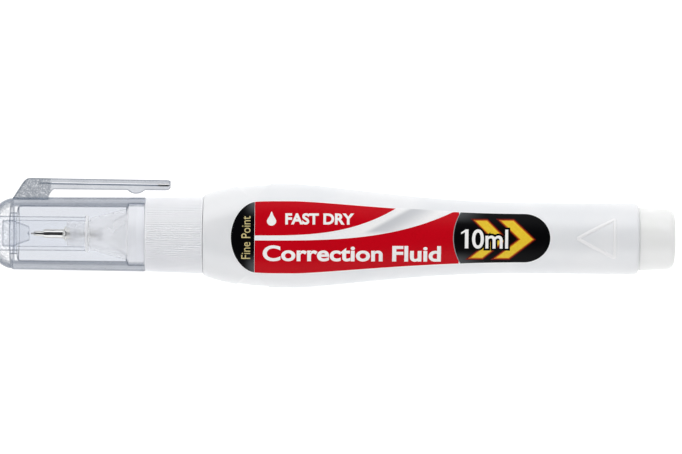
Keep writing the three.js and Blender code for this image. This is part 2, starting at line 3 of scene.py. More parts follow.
import bmesh
import bpy
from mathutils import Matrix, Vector


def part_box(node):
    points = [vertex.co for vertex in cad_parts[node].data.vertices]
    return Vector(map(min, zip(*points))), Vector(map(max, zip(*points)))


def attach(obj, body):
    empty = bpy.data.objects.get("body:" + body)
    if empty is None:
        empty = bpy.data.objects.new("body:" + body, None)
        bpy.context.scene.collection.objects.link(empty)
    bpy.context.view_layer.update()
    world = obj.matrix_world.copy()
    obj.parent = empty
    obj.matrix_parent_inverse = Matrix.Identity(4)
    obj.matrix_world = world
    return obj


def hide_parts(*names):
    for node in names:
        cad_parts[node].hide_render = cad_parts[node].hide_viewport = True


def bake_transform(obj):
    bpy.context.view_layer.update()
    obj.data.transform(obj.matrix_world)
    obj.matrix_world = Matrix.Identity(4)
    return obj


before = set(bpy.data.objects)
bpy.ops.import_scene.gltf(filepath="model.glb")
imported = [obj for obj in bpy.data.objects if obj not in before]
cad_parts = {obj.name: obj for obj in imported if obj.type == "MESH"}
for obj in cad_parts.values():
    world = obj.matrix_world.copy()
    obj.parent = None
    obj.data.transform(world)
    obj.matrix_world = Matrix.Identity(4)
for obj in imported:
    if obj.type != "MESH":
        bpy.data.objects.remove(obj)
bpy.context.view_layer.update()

# Places are in millimetres. s runs along the pen from the seam between collar and bottle, y is across
# it towards the clip, and z is up from the pen's axis.
mm = 0.001
seatGap = 0.08  # between a piece and the one it seats on


def cadSpan(node, axis):
    low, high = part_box(node)
    return low[axis] / mm, high[axis] / mm


seamX = cadSpan("grip_collar", 0)[1] + seatGap
axisZ = sum(cadSpan("bottle", 2)) / 2


def alongSpan(node):
    low, high = cadSpan(node, 0)
    return low - seamX, high - seamX


def radiusOf(node):
    low, high = cadSpan(node, 2)
    return (high - low) / 2


def toFrame(s, y, z):
    return Vector(((seamX + s) * mm, y * mm, (axisZ + z) * mm))


class Wire:
    # one output socket; arithmetic on it adds Math nodes
    def __init__(self, paint, socket):
        self.paint = paint
        self.socket = socket

    def maths(self, operation, *values):
        return self.paint.add("ShaderNodeMath", {"operation": operation}, dict(enumerate(values)))

    def __add__(self, other):
        return self.maths("ADD", self, other)

    def __radd__(self, other):
        return self.maths("ADD", other, self)

    def __sub__(self, other):
        return self.maths("SUBTRACT", self, other)

    def __rsub__(self, other):
        return self.maths("SUBTRACT", other, self)

    def __mul__(self, other):
        return self.maths("MULTIPLY", self, other)

    def __rmul__(self, other):
        return self.maths("MULTIPLY", other, self)

    def __truediv__(self, other):
        return self.maths("DIVIDE", self, other)

    def __rtruediv__(self, other):
        return self.maths("DIVIDE", other, self)

    def __abs__(self):
        return self.maths("ABSOLUTE", self)

    def clamped(self):
        return self.maths("MINIMUM", self.maths("MAXIMUM", self, 0.0), 1.0)


class Paint:
    # the nodes of one material, or of the world
    def __init__(self, name, kind="materials"):
        self.owner = getattr(bpy.data, kind).new(name)
        self.owner.use_nodes = True
        self.tree = self.owner.node_tree
        self.tree.nodes.clear()

    def add(self, kind, settings=None, sockets=None, out=0):
        node = self.tree.nodes.new(kind)
        for key, value in (settings or {}).items():
            if key == "stops":
                ramp = node.color_ramp
                while len(ramp.elements) < len(value):
                    ramp.elements.new(1.0)
                for element, (place, colour) in zip(ramp.elements, value):
                    element.position = place
                    element.color = (*colour, 1.0)
            else:
                setattr(node, key, value)
        for key, value in (sockets or {}).items():
            if isinstance(value, Wire):
                self.tree.links.new(value.socket, node.inputs[key])
            else:
                node.inputs[key].default_value = value
        return Wire(self, node.outputs[out] if node.outputs else None)

    def place(self, kind="Object"):
        return self.add("ShaderNodeTexCoord", out=kind)

    def axes(self, kind="Object"):
        node = self.add("ShaderNodeSeparateXYZ", sockets={0: self.place(kind)}).socket.node
        return [Wire(self, node.outputs[i]) for i in range(3)]

    def penPlace(self):
        # s and y of the point that is shaded
        x, y, z = self.axes()
        return x / mm - seamX, y / mm

    def noise(self, scale, detail=2.0):
        return self.add("ShaderNodeTexNoise", sockets={
            "Vector": self.place(), "Scale": scale, "Detail": detail, "Roughness": 0.5,
        })

    def mix(self, factor, first, second):
        return self.add("ShaderNodeMix", {"data_type": "RGBA"}, {0: factor, 6: first, 7: second}, out=2)

    def ranged(self, value, low, high):
        # 0 below low, 1 above high, and a smooth step between
        return self.add("ShaderNodeMapRange", {"interpolation_type": "SMOOTHSTEP"}, {
            0: value, 1: low, 2: high, 3: 0.0, 4: 1.0,
        })

    def twoTone(self, pattern, look, spread):
        # the look's colour and shade, shared out by a noise pattern about its middle
        share = self.ranged(pattern, 0.5 - spread, 0.5 + spread)
        return self.mix(share, rgba(*look["colour"]), rgba(*look["shade"]))

    def bump(self, height, strength, distance):
        return self.add("ShaderNodeBump", sockets={
            "Strength": strength, "Distance": distance * mm, "Height": height,
        })

    def finish(self, cover=None, clear=None, **sockets):
        # cover, where it is given, is how much of the surface hides what is behind its clear tint
        named = {key.replace("_", " "): value for key, value in sockets.items()}
        surface = self.add("ShaderNodeBsdfPrincipled", sockets=named)
        if cover is not None:
            behind = self.add("ShaderNodeBsdfTransparent", sockets={"Color": clear})
            surface = self.add("ShaderNodeMixShader", sockets={0: cover, 1: behind, 2: surface})
        self.add("ShaderNodeOutputMaterial", sockets={"Surface": surface})
        return self.owner


def rgba(r, g, b):
    # sRGB from 0 to 255, made linear
    def linear(c):
        c = c / 255
        return c / 12.92 if c <= 0.04045 else ((c + 0.055) / 1.055) ** 2.4
    return (linear(r), linear(g), linear(b), 1.0)


plasticIor = 1.5


def mouldedPlastic(name, look):
    # moulded plastic: a slow drift of tone and a fine satin grain
    paint = Paint(name)
    drift = paint.noise(look["driftScale"], look["driftDetail"])
    grain = paint.noise(look["grainScale"])
    rough = look["roughness"] + (grain - 0.5) * look["roughnessSpread"]
    return paint.finish(
        Base_Color=paint.twoTone(drift, look, look["driftSpread"]),
        Roughness=rough.clamped(),
        Normal=paint.bump(grain, look["grainStrength"], look["grainDepth"]),
        IOR=plasticIor,
        Subsurface_Weight=look["milkiness"],
        Subsurface_Radius=(1.0, 1.0, 1.0),
        Subsurface_Scale=look["depth"] * mm,
    )


bottleLook = {
    "colour": (238, 239, 241), "shade": (232, 234, 237),
    "driftScale": 60.0, "driftDetail": 3.0, "driftSpread": 0.15,
    "grainScale": 4200.0, "grainStrength": 0.12, "grainDepth": 0.02,
    "roughness": 0.36, "roughnessSpread": 0.12,
    "milkiness": 0.12, "depth": 1.5,
}
naturalLook = dict(
    bottleLook, colour=(249, 250, 249), shade=(244, 246, 243), driftScale=150.0, grainScale=3000.0,
    grainStrength=0.1, roughness=0.3, roughnessSpread=0.1, milkiness=0.5, depth=3.0,
)
plasticLooks = {
    "bottlePlastic": bottleLook,
    # painted highlight: the arrow's ridge is the bottle's plastic drawn whiter
    "ridgePlastic": dict(bottleLook, colour=(250, 250, 251), shade=(247, 247, 249)),
    "collarPlastic": dict(bottleLook, colour=(246, 247, 250), shade=(241, 242, 246), roughness=0.42),
    "naturalPlastic": naturalLook,
    "valvePlastic": dict(bottleLook, colour=(225, 226, 228), shade=(214, 216, 220)),
    "neckRubber": dict(bottleLook, colour=(54, 55, 58), shade=(46, 47, 50), roughness=0.8, milkiness=0.0),
}
plastics = {name: mouldedPlastic(name, look) for name, look in plasticLooks.items()}


def clearPlastic(name, look):
    # clear moulding: see-through face on, and greyer in steps where the surface turns away; the grey is
    # painted shade and reflection standing in for the refraction in the walls
    paint = Paint(name)
    flow = paint.noise(look["flowScale"])
    away = paint.add("ShaderNodeLayerWeight", sockets={"Blend": 0.5}, out="Facing")
    edge = 0.0
    for start, end, amount in look["bands"]:
        edge = paint.ranged(away, start, end) * amount + edge
    cover = look["body"] + (flow - 0.5) * look["body"] * look["bodyDrift"] + edge
    if look["speckle"]:
        cells = paint.add("ShaderNodeTexVoronoi", {"feature": "F1"}, {
            "Vector": paint.place(), "Scale": look["speckleScale"],
        })
        low, high = look["speckleEdges"]
        cover = cover + (paint.ranged(cells, low, high) - look["speckleMiddle"]) * look["speckle"]
    greyShare = (edge * look["edgeGrey"] + look["greyness"]).clamped()
    return paint.finish(
        cover=cover.clamped(),
        clear=look["clear"],
        Base_Color=paint.mix(greyShare, rgba(*look["pale"]), paint.twoTone(flow, look, look["flowSpread"])),
        Roughness=(look["roughness"] + flow * look["haze"]).clamped(),
        Normal=paint.bump(flow, look["flowStrength"], look["flowDepth"]),
        IOR=plasticIor,
    )


# Each band is where it starts and ends, from 0 face on to 1 edge on, and how much it hides. A negative band
# leaves a lighter line between the grey ones, a painted highlight.
clearLook = {
    "clear": (0.903, 0.91, 0.925, 1.0), "pale": (236, 239, 246),
    "colour": (112, 124, 142), "shade": (94, 106, 125), "greyness": 0.0, "edgeGrey": 3.0,
    "roughness": 0.04, "haze": 0.04,
    "flowScale": 260.0, "flowSpread": 0.2, "flowStrength": 0.1, "flowDepth": 0.05,
    "body": 0.008, "bodyDrift": 0.6,
    "speckle": 0.0, "speckleScale": 1300.0, "speckleEdges": (0.2, 0.75), "speckleMiddle": 0.4,
    "bands": [(0.30, 0.38, 0.52), (0.42, 0.5, -0.15), (0.62, 0.85, 0.55)],
}
# painted shade: the inside faces of the clear walls are drawn darker and greyer than the outside
innerLook = dict(clearLook, colour=(86, 96, 114), shade=(74, 85, 104), bands=[(0.62, 0.82, 1.0)])
clipLook = dict(clearLook, body=0.3, greyness=0.8, bands=[(0.04, 0.6, 0.5)])
whiteLook = dict(clearLook, clear=(1.0, 1.0, 1.0, 1.0), pale=(255, 255, 255))
thinTint = (0.972, 0.975, 0.982, 1.0)
thinnestTint = (0.985, 0.988, 0.993, 1.0)

clearLooks = {
    "capOuter": clearLook,
    "capMouthPlastic": dict(clearLook, clear=thinTint),
    "capInner": innerLook,
    "capSocketPlastic": dict(innerLook, clear=thinTint),
    "clipPlastic": clipLook,
    # a painted highlight line and a painted shade line along the clip's side
    "clipLight": dict(clipLook, body=0.03, bands=[(0.2, 0.9, 0.1)]),
    "clipDark": dict(clipLook, body=0.6),
    "clipWeb": dict(clipLook, body=0.22),
    # painted reflection: a dark streak near the clip's free end
    "streakPlastic": dict(clipLook, body=0.9, greyness=1.0, colour=(40, 44, 52), shade=(28, 31, 38)),
    "rootPlastic": dict(
        clipLook, body=0.36, speckle=0.42, speckleScale=3000.0, colour=(104, 116, 130), shade=(84, 98, 112),
    ),
    "nosePlastic": dict(
        clearLook, clear=(0.985, 0.987, 0.992, 1.0), body=0.1, greyness=0.6, speckle=0.2,
        speckleScale=1500.0, bands=[(0.25, 0.85, 0.8)],
    ),
    "sleevePlastic": dict(innerLook, clear=thinnestTint, bands=[(0.55, 0.95, 0.75)]),
    "padSilicone": dict(clearLook, clear=thinnestTint, body=0.1, greyness=0.3, bands=[(0.3, 1.0, 0.5)]),
    # painted highlight: a white, nearly opaque finish for the glint on the sleeve's rim and at the clip's
    # end
    "rimPlastic": dict(
        whiteLook, body=0.95, colour=(250, 250, 252), shade=(246, 247, 250), bands=[(0.8, 1.0, 0.1)],
    ),
    "nozzleShell": dict(
        whiteLook, body=0.28, colour=(212, 216, 224), shade=(198, 203, 213), bands=[(0.6, 1.0, 0.25)],
    ),
    # painted shade for the nozzle's inside faces
    "nozzleFunnel": dict(
        whiteLook, body=0.2, colour=(84, 92, 104), shade=(76, 84, 96), bands=[(0.7, 0.86, 1.0)],
    ),
}
clear = {name: clearPlastic(name, look) for name, look in clearLooks.items()}


def turnedMetal(name, look):
    # metal turned on a lathe: fine rings round the axis
    paint = Paint(name)
    along = paint.axes()[0]
    rings = paint.add("ShaderNodeTexNoise", {"noise_dimensions": "1D"}, {
        "W": along * look["scratchScale"], "Scale": 1.0, "Detail": look["scratchDetail"],
    })
    return paint.finish(
        Base_Color=paint.twoTone(rings, look, look["toneSpread"]),
        Metallic=1.0,
        Roughness=(look["roughness"] + rings * look["roughnessSpread"]).clamped(),
        Normal=paint.bump(rings, look["scratchStrength"], look["scratchDepth"]),
    )


metalLook = {
    "colour": (244, 241, 232), "shade": (226, 222, 212), "toneSpread": 0.2,
    "roughness": 0.015, "roughnessSpread": 0.02,
    "scratchScale": 9000.0, "scratchDetail": 2.0, "scratchStrength": 0.02, "scratchDepth": 0.01,
}
tipMetal = turnedMetal("tipMetal", metalLook)
valveSteel = turnedMetal("valveSteel", dict(metalLook, colour=(206, 206, 205), roughness=0.2))
print("plastics and metals mixed")


def makePiece(name, points, faces, body, material, nodes=(), slot=None, sharpAngle=32.0):
    mesh = bpy.data.meshes.new(name)
    work = bmesh.new()
    corners = [work.verts.new(toFrame(*p)) for p in points]
    for face in faces:
        work.faces.new([corners[i] for i in face])
    bmesh.ops.recalc_face_normals(work, faces=work.faces)
    for face in work.faces:
        face.smooth = True
    work.to_mesh(mesh)
    work.free()
    mesh.set_sharp_from_angle(angle=math.radians(sharpAngle))
    piece = bpy.data.objects.new(name, mesh)
    bpy.context.scene.collection.objects.link(piece)
    mesh.materials.append(material)
    if body:
        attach(piece, body)
    if nodes:
        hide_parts(*nodes)
    return piece


mostOfEdge = 0.48  # the share of an edge that a fillet may take


def filleted(outline, steps=5):
    # a closed outline of (s, r) or (s, r, corner radius) with its corners rounded
    rounded = []
    count = len(outline)
    for i, point in enumerate(outline):
        here = Vector(point[:2])
        if len(point) < 3:
            rounded.append(tuple(here))
            continue
        before = Vector(outline[i - 1][:2]) - here
        after = Vector(outline[(i + 1) % count][:2]) - here
        reach = point[2] / math.tan(before.angle(after) / 2)
        reach = min(reach, before.length * mostOfEdge, after.length * mostOfEdge)
        start = here + before.normalized() * reach
        end = here + after.normalized() * reach
        for k in range(steps + 1):
            t = k / steps
            rounded.append(tuple(start * (1 - t) ** 2 + here * (2 * t * (1 - t)) + end * t * t))
    return rounded


def turned(name, outline, body, material, sides=96, wave=None, **settings):
    # turned about the pen's axis; an outline that starts and ends on the axis is closed there
    rounded = filleted(outline)
    onAxis = rounded[0][1] == 0
    points = []
    rings = []
    for s, r in rounded:
        if r == 0:
            rings.append([len(points)])
            points.append((s, 0, 0))
            continue
        rings.append(list(range(len(points), len(points) + sides)))
        for k in range(sides):
            angle = 2 * math.pi * k / sides
            here = wave(s, r, angle) if wave else r
            points.append((s, here * math.cos(angle), here * math.sin(angle)))
    faces = []
    for first, second in zip(rings, rings[1:] if onAxis else rings[1:] + rings[:1]):
        for k in range(sides):
            n = (k + 1) % sides
            if len(first) == 1:
                faces.append((first[0], second[k], second[n]))
            elif len(second) == 1:
                faces.append((first[k], first[n], second[0]))
            else:
                faces.append((first[k], first[n], second[n], second[k]))
    return makePiece(name, points, faces, body, material, **settings)


def lofted(name, rings, body, material, closed=True, **settings):
    # closed=True joins the last ring to the first; otherwise both ends are capped
    count = len(rings[0])
    points = [p for ring in rings for p in ring]
    faces = []
    spans = len(rings) if closed else len(rings) - 1
    for i in range(spans):
        a = i * count
        b = ((i + 1) % len(rings)) * count
        for k in range(count):
            n = (k + 1) % count
            faces.append((a + k, a + n, b + n, b + k))
    if not closed:
        faces.append(tuple(reversed(range(count))))
        faces.append(tuple(range((len(rings) - 1) * count, len(rings) * count)))
    return makePiece(name, points, faces, body, material, **settings)


def recolour(name, material, chosen):
    # gives a material to the faces that are chosen by s, distance from the axis and looking inwards
    data = bpy.data.objects[name].data
    data.materials.append(material)
    for face in data.polygons:
        along, across, up = face.center / mm
        outward = Vector((0.0, across, up - axisZ))
        if chosen(along - seamX, outward.length, face.normal.dot(outward) < 0):
            face.material_index = len(data.materials) - 1


# The bottle goes from round at the seam, through a wide oval with flats, to a round tail.
bottleForm = {
    "length": alongSpan("bottle")[1],
    "neck": alongSpan("bottle")[0],
    "halfWidth": cadSpan("bottle", 1)[1],
    "halfThickness": 8.6,
    "flat": radiusOf("bottle"),
    "seamRadius": 8.15,
    "tailRadius": 7.22,
    "bulgeFront": 15.0,
    "bulgeRear": 19.0,
    "tailStart": 66.0,
    "squareness": 0.5,
    "shoulderBias": 0.8,
    "widthBias": 0.7,
    "thicknessBias": 1.05,
    "flatBlend": 0.35,  # softens the edge of the flats
    "sides": 160,
}
gripPanel = {
    "middle": 10.2, "halfLength": 3.4, "halfHeight": 6.4, "depth": 0.24, "edge": 0.09,
    "sideFrom": 0.3,  # how far round towards the side the panel may start
}


def bulge(s, bias):
    f = bottleForm
    if s < f["bulgeFront"]:
        share = max(0.0, s / f["bulgeFront"]) ** f["shoulderBias"]
        return math.sin(math.pi / 2 * share)
    if s < f["bulgeRear"]:
        return 1.0
    t = min(1.0, (s - f["bulgeRear"]) / (f["tailStart"] - f["bulgeRear"])) ** bias
    return 1 - t * t * (3 - 2 * t)


def section(s, grow=0.0):
    # half width, half thickness, the oval's power and the height of its flats
    f = bottleForm
    wide = bulge(s, f["widthBias"])
    thick = bulge(s, f["thicknessBias"])
    base = f["seamRadius"] if s < f["bulgeFront"] else f["tailRadius"]
    return (
        base + (f["halfWidth"] - base) * wide + grow,
        base + (f["halfThickness"] - base) * thick + grow,
        2 + f["squareness"] * wide,
        f["flat"] + grow,
    )


def softMin(a, b, blend):
    near = max(blend - abs(a - b), 0.0) / blend
    return min(a, b) - near * near * blend / 4


def faceHeight(s, y, grow=0.0):
    width, thickness, power, flat = section(s, grow)
    share = min(1.0, abs(y) / width)
    return softMin(thickness * (1 - share ** power) ** (1 / power), flat, bottleForm["flatBlend"])


def bodyRing(s, grow=0.0):
    g = gripPanel
    width, thickness, power, flat = section(s, grow)
    ring = []
    for k in range(bottleForm["sides"]):
        angle = 2 * math.pi * k / bottleForm["sides"]
        c, d = math.cos(angle), math.sin(angle)
        y = width * math.copysign(abs(c) ** (2 / power), c)
        z = thickness * math.copysign(abs(d) ** (2 / power), d)
        z = math.copysign(softMin(abs(z), flat, bottleForm["flatBlend"]), z)
        away = math.hypot((s - g["middle"]) / g["halfLength"], z / g["halfHeight"])
        inside = min(1.0, max(0.0, (1 - away) / g["edge"]))
        if abs(c) > g["sideFrom"]:
            y -= math.copysign(g["depth"] * inside * inside * (3 - 2 * inside), y)
        ring.append((s, y, z))
    return ring


def roundRing(s, radius):
    angles = [2 * math.pi * k / bottleForm["sides"] for k in range(bottleForm["sides"])]
    return [(s, radius * math.cos(a), radius * math.sin(a)) for a in angles]


def spaced(start, end, count, power=1.0):
    return [start + (end - start) * (i / count) ** power for i in range(count + 1)]


bottleParts = {
    "neckRadius": 6.1, "neckBore": 4.6, "neckChamfer": 0.2, "neckFillet": 0.1, "neckFilletRun": 0.02,
    "neckBoreEnd": 1.0, "wall": 1.0, "edge": 0.12, "edgeShare": 0.3,
    "frontEnd": 16.0, "frontRings": 64, "frontBias": 1.15, "rearStart": 16.5, "rearRings": 90,
    "tailRound": 0.9, "tailDrop": 0.75, "tailSteps": 5,
    "plugBore": 5.95, "plugDepth": 8.2, "insideStart": 2.0, "insideRings": 24, "insideStep": 0.4,
}


def makeBottle():
    b = bottleParts
    neck, end = bottleForm["neck"], bottleForm["length"]
    bodyEnd = end - b["tailRound"]
    inner = b["edge"] * b["edgeShare"]
    rings = [
        roundRing(neck, b["neckRadius"] - b["neckChamfer"]),
        roundRing(neck + b["neckChamfer"], b["neckRadius"]),
        roundRing(-b["neckFilletRun"], b["neckRadius"]),
        roundRing(0.0, b["neckRadius"] + b["neckFillet"]),
        roundRing(0.0, bottleForm["seamRadius"] - b["edge"]),
        roundRing(inner, bottleForm["seamRadius"] - inner),
    ]
    rings += [bodyRing(s) for s in spaced(b["edge"], b["frontEnd"], b["frontRings"], b["frontBias"])]
    rings += [bodyRing(s) for s in spaced(b["rearStart"], bodyEnd, b["rearRings"])]
    for k in range(1, b["tailSteps"] + 1):
        turn = math.pi / 2 * k / b["tailSteps"]
        rings.append(roundRing(
            bodyEnd + b["tailRound"] * math.sin(turn),
            bottleForm["tailRadius"] - b["tailDrop"] * (1 - math.cos(turn)),
        ))
    plugEnd = end - b["plugDepth"]
    rings += [roundRing(end, b["plugBore"]), roundRing(plugEnd, b["plugBore"])]
    inside = spaced(b["insideStart"], plugEnd - b["insideStep"], b["insideRings"])
    rings += [bodyRing(s, -b["wall"]) for s in reversed(inside)]
    rings += [roundRing(b["neckBoreEnd"], b["neckBore"]), roundRing(neck, b["neckBore"])]
    lofted("bottle_body", rings, "pen", plastics["bottlePlastic"], nodes=["bottle"], slot="bottle_plastic")


makeBottle()

arrowMark = {
    "tip": 75.4, "base": 84.1, "halfHeight": 4.65, "ridgeWidth": 0.7, "height": 0.2, "sunk": 0.12,
    "cornerRadius": 0.12, "cornerSteps": 4, "cut": 0.4, "crownSteps": 8, "crownPower": 0.8,
    "sharpAngle": 60,
}


def makeArrowMark():
    # a low rounded ridge swept round a triangle on the tail's surface
    a = arrowMark
    inset = a["ridgeWidth"] / 2
    slope = a["halfHeight"] / (a["base"] - a["tip"])
    tip = a["tip"] + inset / math.sin(math.atan(slope))
    base = a["base"] - inset
    half = slope * (base - tip)
    corners = [(tip, 0.0), (base, -half), (base, half)]
    outline = filleted([(s, y, a["cornerRadius"]) for s, y in corners], a["cornerSteps"])
    path = []
    for start, end in zip(outline, outline[1:] + outline[:1]):
        cuts = max(1, round(math.dist(start, end) / a["cut"]))
        path += [Vector(start).lerp(Vector(end), k / cuts) for k in range(cuts)]
    crown = [math.pi * k / a["crownSteps"] for k in range(a["crownSteps"] + 1)]
    ridge = [(-math.cos(turn) * inset, math.sin(turn) ** a["crownPower"] * a["height"]) for turn in crown]
    ridge += [(inset, -a["sunk"]), (-inset, -a["sunk"])]
    rings = []
    for i, here in enumerate(path):
        run = (path[(i + 1) % len(path)] - path[i - 1]).normalized()
        side = Vector((-run.y, run.x))
        ring = []
        for across, lift in ridge:
            p = here + side * across
            radius = bottleForm["tailRadius"] + lift
            turn = p.y / bottleForm["tailRadius"]
            ring.append((p.x, radius * math.sin(turn), radius * math.cos(turn)))
        rings.append(ring)
    lofted("arrow_mark", rings, "pen", plastics["ridgePlastic"], slot="bottle_plastic",
           sharpAngle=a["sharpAngle"])


makeArrowMark()
print("bottle and its arrow mark made")

plugForm = {
    "seat": 0.01,  # the flange's face to the bottle's end
    "radius": 6.4, "endRadius": 6.12, "endFlat": 2.6, "crown": 0.12, "cornerRadius": 1.9,
    "rimRun": 0.3, "rimDrop": 0.1, "smallFillet": 0.2, "spigot": 5.79, "leadRun": 0.4, "leadDrop": 0.3,
    "cup": 4.67, "cupWall": 1.2, "cupFillet": 0.8, "sides": 128,
}


def makePlug():
    p = plugForm
    front, rear = alongSpan("end_plug")
    flange = bottleForm["length"] + p["seat"]
    turned("tail_plug", [
        (rear, 0.0), (rear, p["endFlat"]), (rear - p["crown"], p["endRadius"], p["cornerRadius"]),
        (flange + p["rimRun"], p["radius"], p["smallFillet"]),
        (flange, p["radius"] - p["rimDrop"], p["rimDrop"]), (flange, p["spigot"]),
        (front + p["leadRun"], p["spigot"], p["smallFillet"]), (front, p["spigot"] - p["leadDrop"]),
        (front, p["cup"]), (rear - p["cupWall"], p["cup"], p["cupFillet"]), (rear - p["cupWall"], 0.0),
    ], "pen", plastics["naturalPlastic"], sides=p["sides"], nodes=["end_plug"], slot="natural_plastic")


makePlug()

collarForm = {
    "count": 104, "depth": 0.2, "pointsPerRib": 6, "groove": 0.28, "groovePower": 0.7, "fade": 0.3,
    "ribsEnd": -0.1, "start": -11.8, "stations": (-11.3, -9.0, -6.0, -3.0, -0.48),
    "front": 7.55, "rear": 7.88, "bore": 6.38, "edge": 0.25, "rootFillet": 0.1, "rearFillet": 0.2,
    "spigot": 6.3, "spigotBore": 5.48, "flange": -10.84, "beadHalf": 0.5, "beadHeight": 0.09,
    "ribsOver": 0.35, "ribsStep": 0.05,
}


def ribWave(s, r, angle):
    c = collarForm
    if r < c["front"] - c["ribsOver"] or s < c["start"] + c["ribsStep"]:
        return r
    phase = (angle * c["count"] / (2 * math.pi)) % 1.0
    groove = max(0.0, 1 - abs(phase - 0.5) / c["groove"])
    fade = min(1.0, (s - c["start"]) / c["fade"], (c["ribsEnd"] - s) / c["fade"])
    return r - c["depth"] * groove ** c["groovePower"] * max(0.0, fade)


def makeCollar():
    c = collarForm
    front, rear = c["start"], -seatGap
    spigotFront = alongSpan("grip_collar")[0]
    middle = (spigotFront + front) / 2
    body = [(s, c["front"] + (c["rear"] - c["front"]) * (s - front) / (rear - front))
            for s in c["stations"]]
    turned("ribbed_collar", [
        (spigotFront, c["spigotBore"]), (spigotFront, c["spigot"], c["edge"]),
        (middle - c["beadHalf"], c["spigot"]), (middle, c["spigot"] + c["beadHeight"], c["beadHalf"]),
        (middle + c["beadHalf"], c["spigot"]), (front, c["spigot"], c["rootFillet"]),
        (front, c["front"], c["edge"]), *body, (rear, c["rear"], c["rearFillet"]), (rear, c["bore"]),
        (c["flange"], c["bore"]), (c["flange"], c["spigotBore"]),
    ], "pen", plastics["collarPlastic"], sides=c["count"] * c["pointsPerRib"], wave=ribWave,
        nodes=["grip_collar"], slot="collar_plastic")


makeCollar()

nozzleForm = {
    "tipBore": 1.23, "nose": 2.62, "noseFillet": 0.35, "stepFillet": 0.12,
    "coneFront": -23.25, "coneLean": 0.05, "coneRadius": 3.3, "coneFillet": 0.25,
    "coneRear": -15.6, "barrel": 5.4, "barrelFillet": 0.4, "flangeFront": -10.76, "flange": 6.1,
    "mouth": 4.6, "funnelRear": -15.3, "funnelFront": -20.5, "bore": 1.43, "land": 0.7,
}


def makeNozzle():
    n = nozzleForm
    face, rear = alongSpan("nozzle")
    turned("tip_nozzle", [
        (face, n["tipBore"]), (face, n["nose"], n["noseFillet"]),
        (n["coneFront"], n["nose"], n["stepFillet"]),
        (n["coneFront"] + n["coneLean"], n["coneRadius"], n["coneFillet"]),
        (n["coneRear"], n["barrel"], n["barrelFillet"]), (n["flangeFront"], n["barrel"]),
        (n["flangeFront"], n["flange"]), (rear, n["flange"]), (rear, n["mouth"]),
        (n["funnelRear"], n["mouth"]), (n["funnelFront"], n["bore"]), (face + n["land"], n["bore"]),
        (face + n["land"], n["tipBore"]),
    ], "pen", clear["nozzleShell"], nodes=["nozzle"], slot="natural_plastic")
    # painted shade: the nozzle's inside faces are drawn dark grey
    recolour("tip_nozzle", clear["nozzleFunnel"], lambda s, r, inwards: inwards)


makeNozzle()

tipForm = {
    "ferrule": 0.93, "frontFillet": 0.14, "flare": 1.6, "flareLength": 0.75, "flareFillet": 0.1,
    "flareEdge": 0.14, "flareEdgeFillet": 0.06, "flareRearFillet": 0.05, "stem": 1.15, "tubeGrip": 1.8,
    "tube": 0.55, "tubeFront": 0.37, "tubeFrontFillet": 0.05, "tubeTaper": 0.35, "tubeTaperFillet": 0.2,
    "tubeSides": 64, "bore": 0.27,
    "needle": 0.2, "needleFace": 0.12, "needleFaceRun": 0.02, "needleFaceFillet": 0.05,
    "needleRound": 0.16, "needleFillet": 0.1, "needleSides": 48,
}


def makeTip():
    t = tipForm
    front, rear = alongSpan("tip_ferrule")
    flareRear = alongSpan("nozzle")[0] - seatGap
    socket = t["tube"] + seatGap
    turned("tip_ferrule_turned", [
        (front, socket), (front, t["ferrule"], t["frontFillet"]),
        (flareRear - t["flareLength"], t["ferrule"], t["flareFillet"]),
        (flareRear - t["flareEdge"], t["flare"], t["flareEdgeFillet"]),
        (flareRear, t["flare"], t["flareRearFillet"]), (flareRear, t["stem"]), (rear, t["stem"]),
        (rear, t["bore"]), (front + t["tubeGrip"], t["bore"]), (front + t["tubeGrip"], socket),
    ], "pen", tipMetal, nodes=["tip_ferrule"], slot="bright_metal")
    tubeFront, tubeRear = alongSpan("tip_tube")
    turned("tip_tube_drawn", [
        (tubeFront, t["bore"]), (tubeFront, t["tubeFront"], t["tubeFrontFillet"]),
        (tubeFront + t["tubeTaper"], t["tube"], t["tubeTaperFillet"]), (tubeRear, t["tube"]),
        (tubeRear, t["bore"]),
    ], "pen", tipMetal, sides=t["tubeSides"], nodes=["tip_tube"], slot="bright_metal")
    pinFront, pinRear = alongSpan("valve_pin")
    turned("needle", [
        (pinFront, 0.0), (pinFront + t["needleFaceRun"], t["needleFace"], t["needleFaceFillet"]),
        (pinFront + t["needleRound"], t["needle"], t["needleFillet"]), (pinRear, t["needle"]),
        (pinRear, 0.0),
    ], "valve", valveSteel, sides=t["needleSides"], nodes=["valve_pin"], slot="plain_steel")


makeTip()
print("plug, collar, nozzle and tip made")

capForm = {
    "shoulder": -39.28, "mouth": -11.88, "mouthRadius": 7.6, "shoulderRadius": 7.42, "bore": 5.79,
    "mouthRound": 0.25, "shoulderRound": 0.5, "edge": 0.1, "endWall": 1.2, "endRound": 1.5,
    "socket": 6.48, "socketDepth": 3.9, "socketRamp": 0.35, "socketRound": 0.2,
    "holeRoom": 0.8, "mouthSkin": 0.15, "socketSkin": 0.1, "sides": 144,
}
noseForm = {"radius": 7.2, "cut": 0.93, "power": 1.7, "steps": 20, "faceSkin": 0.01}
sleeveForm = {
    "radius": 3.5, "bore": 2.75, "mouth": -23.55, "rimRadius": 3.8, "rimLength": 0.5, "rimRun": 0.8,
    "frontRound": 0.3, "runRound": 0.2, "rimFront": 0.15, "rimRear": 0.25, "mouthLip": 0.2,
    "mouthRound": 0.1, "mouthRamp": 0.4, "wall": 0.8, "glintReach": 0.62, "sides": 128,
}
padForm = {
    "radius": 2.67, "length": 2.1, "frontRound": 0.2, "shoulderRound": 0.3, "rearRadius": 1.47,
    "dimple": 0.7, "dimpleRound": 0.1, "dimpleDepth": 0.4, "sides": 72,
}


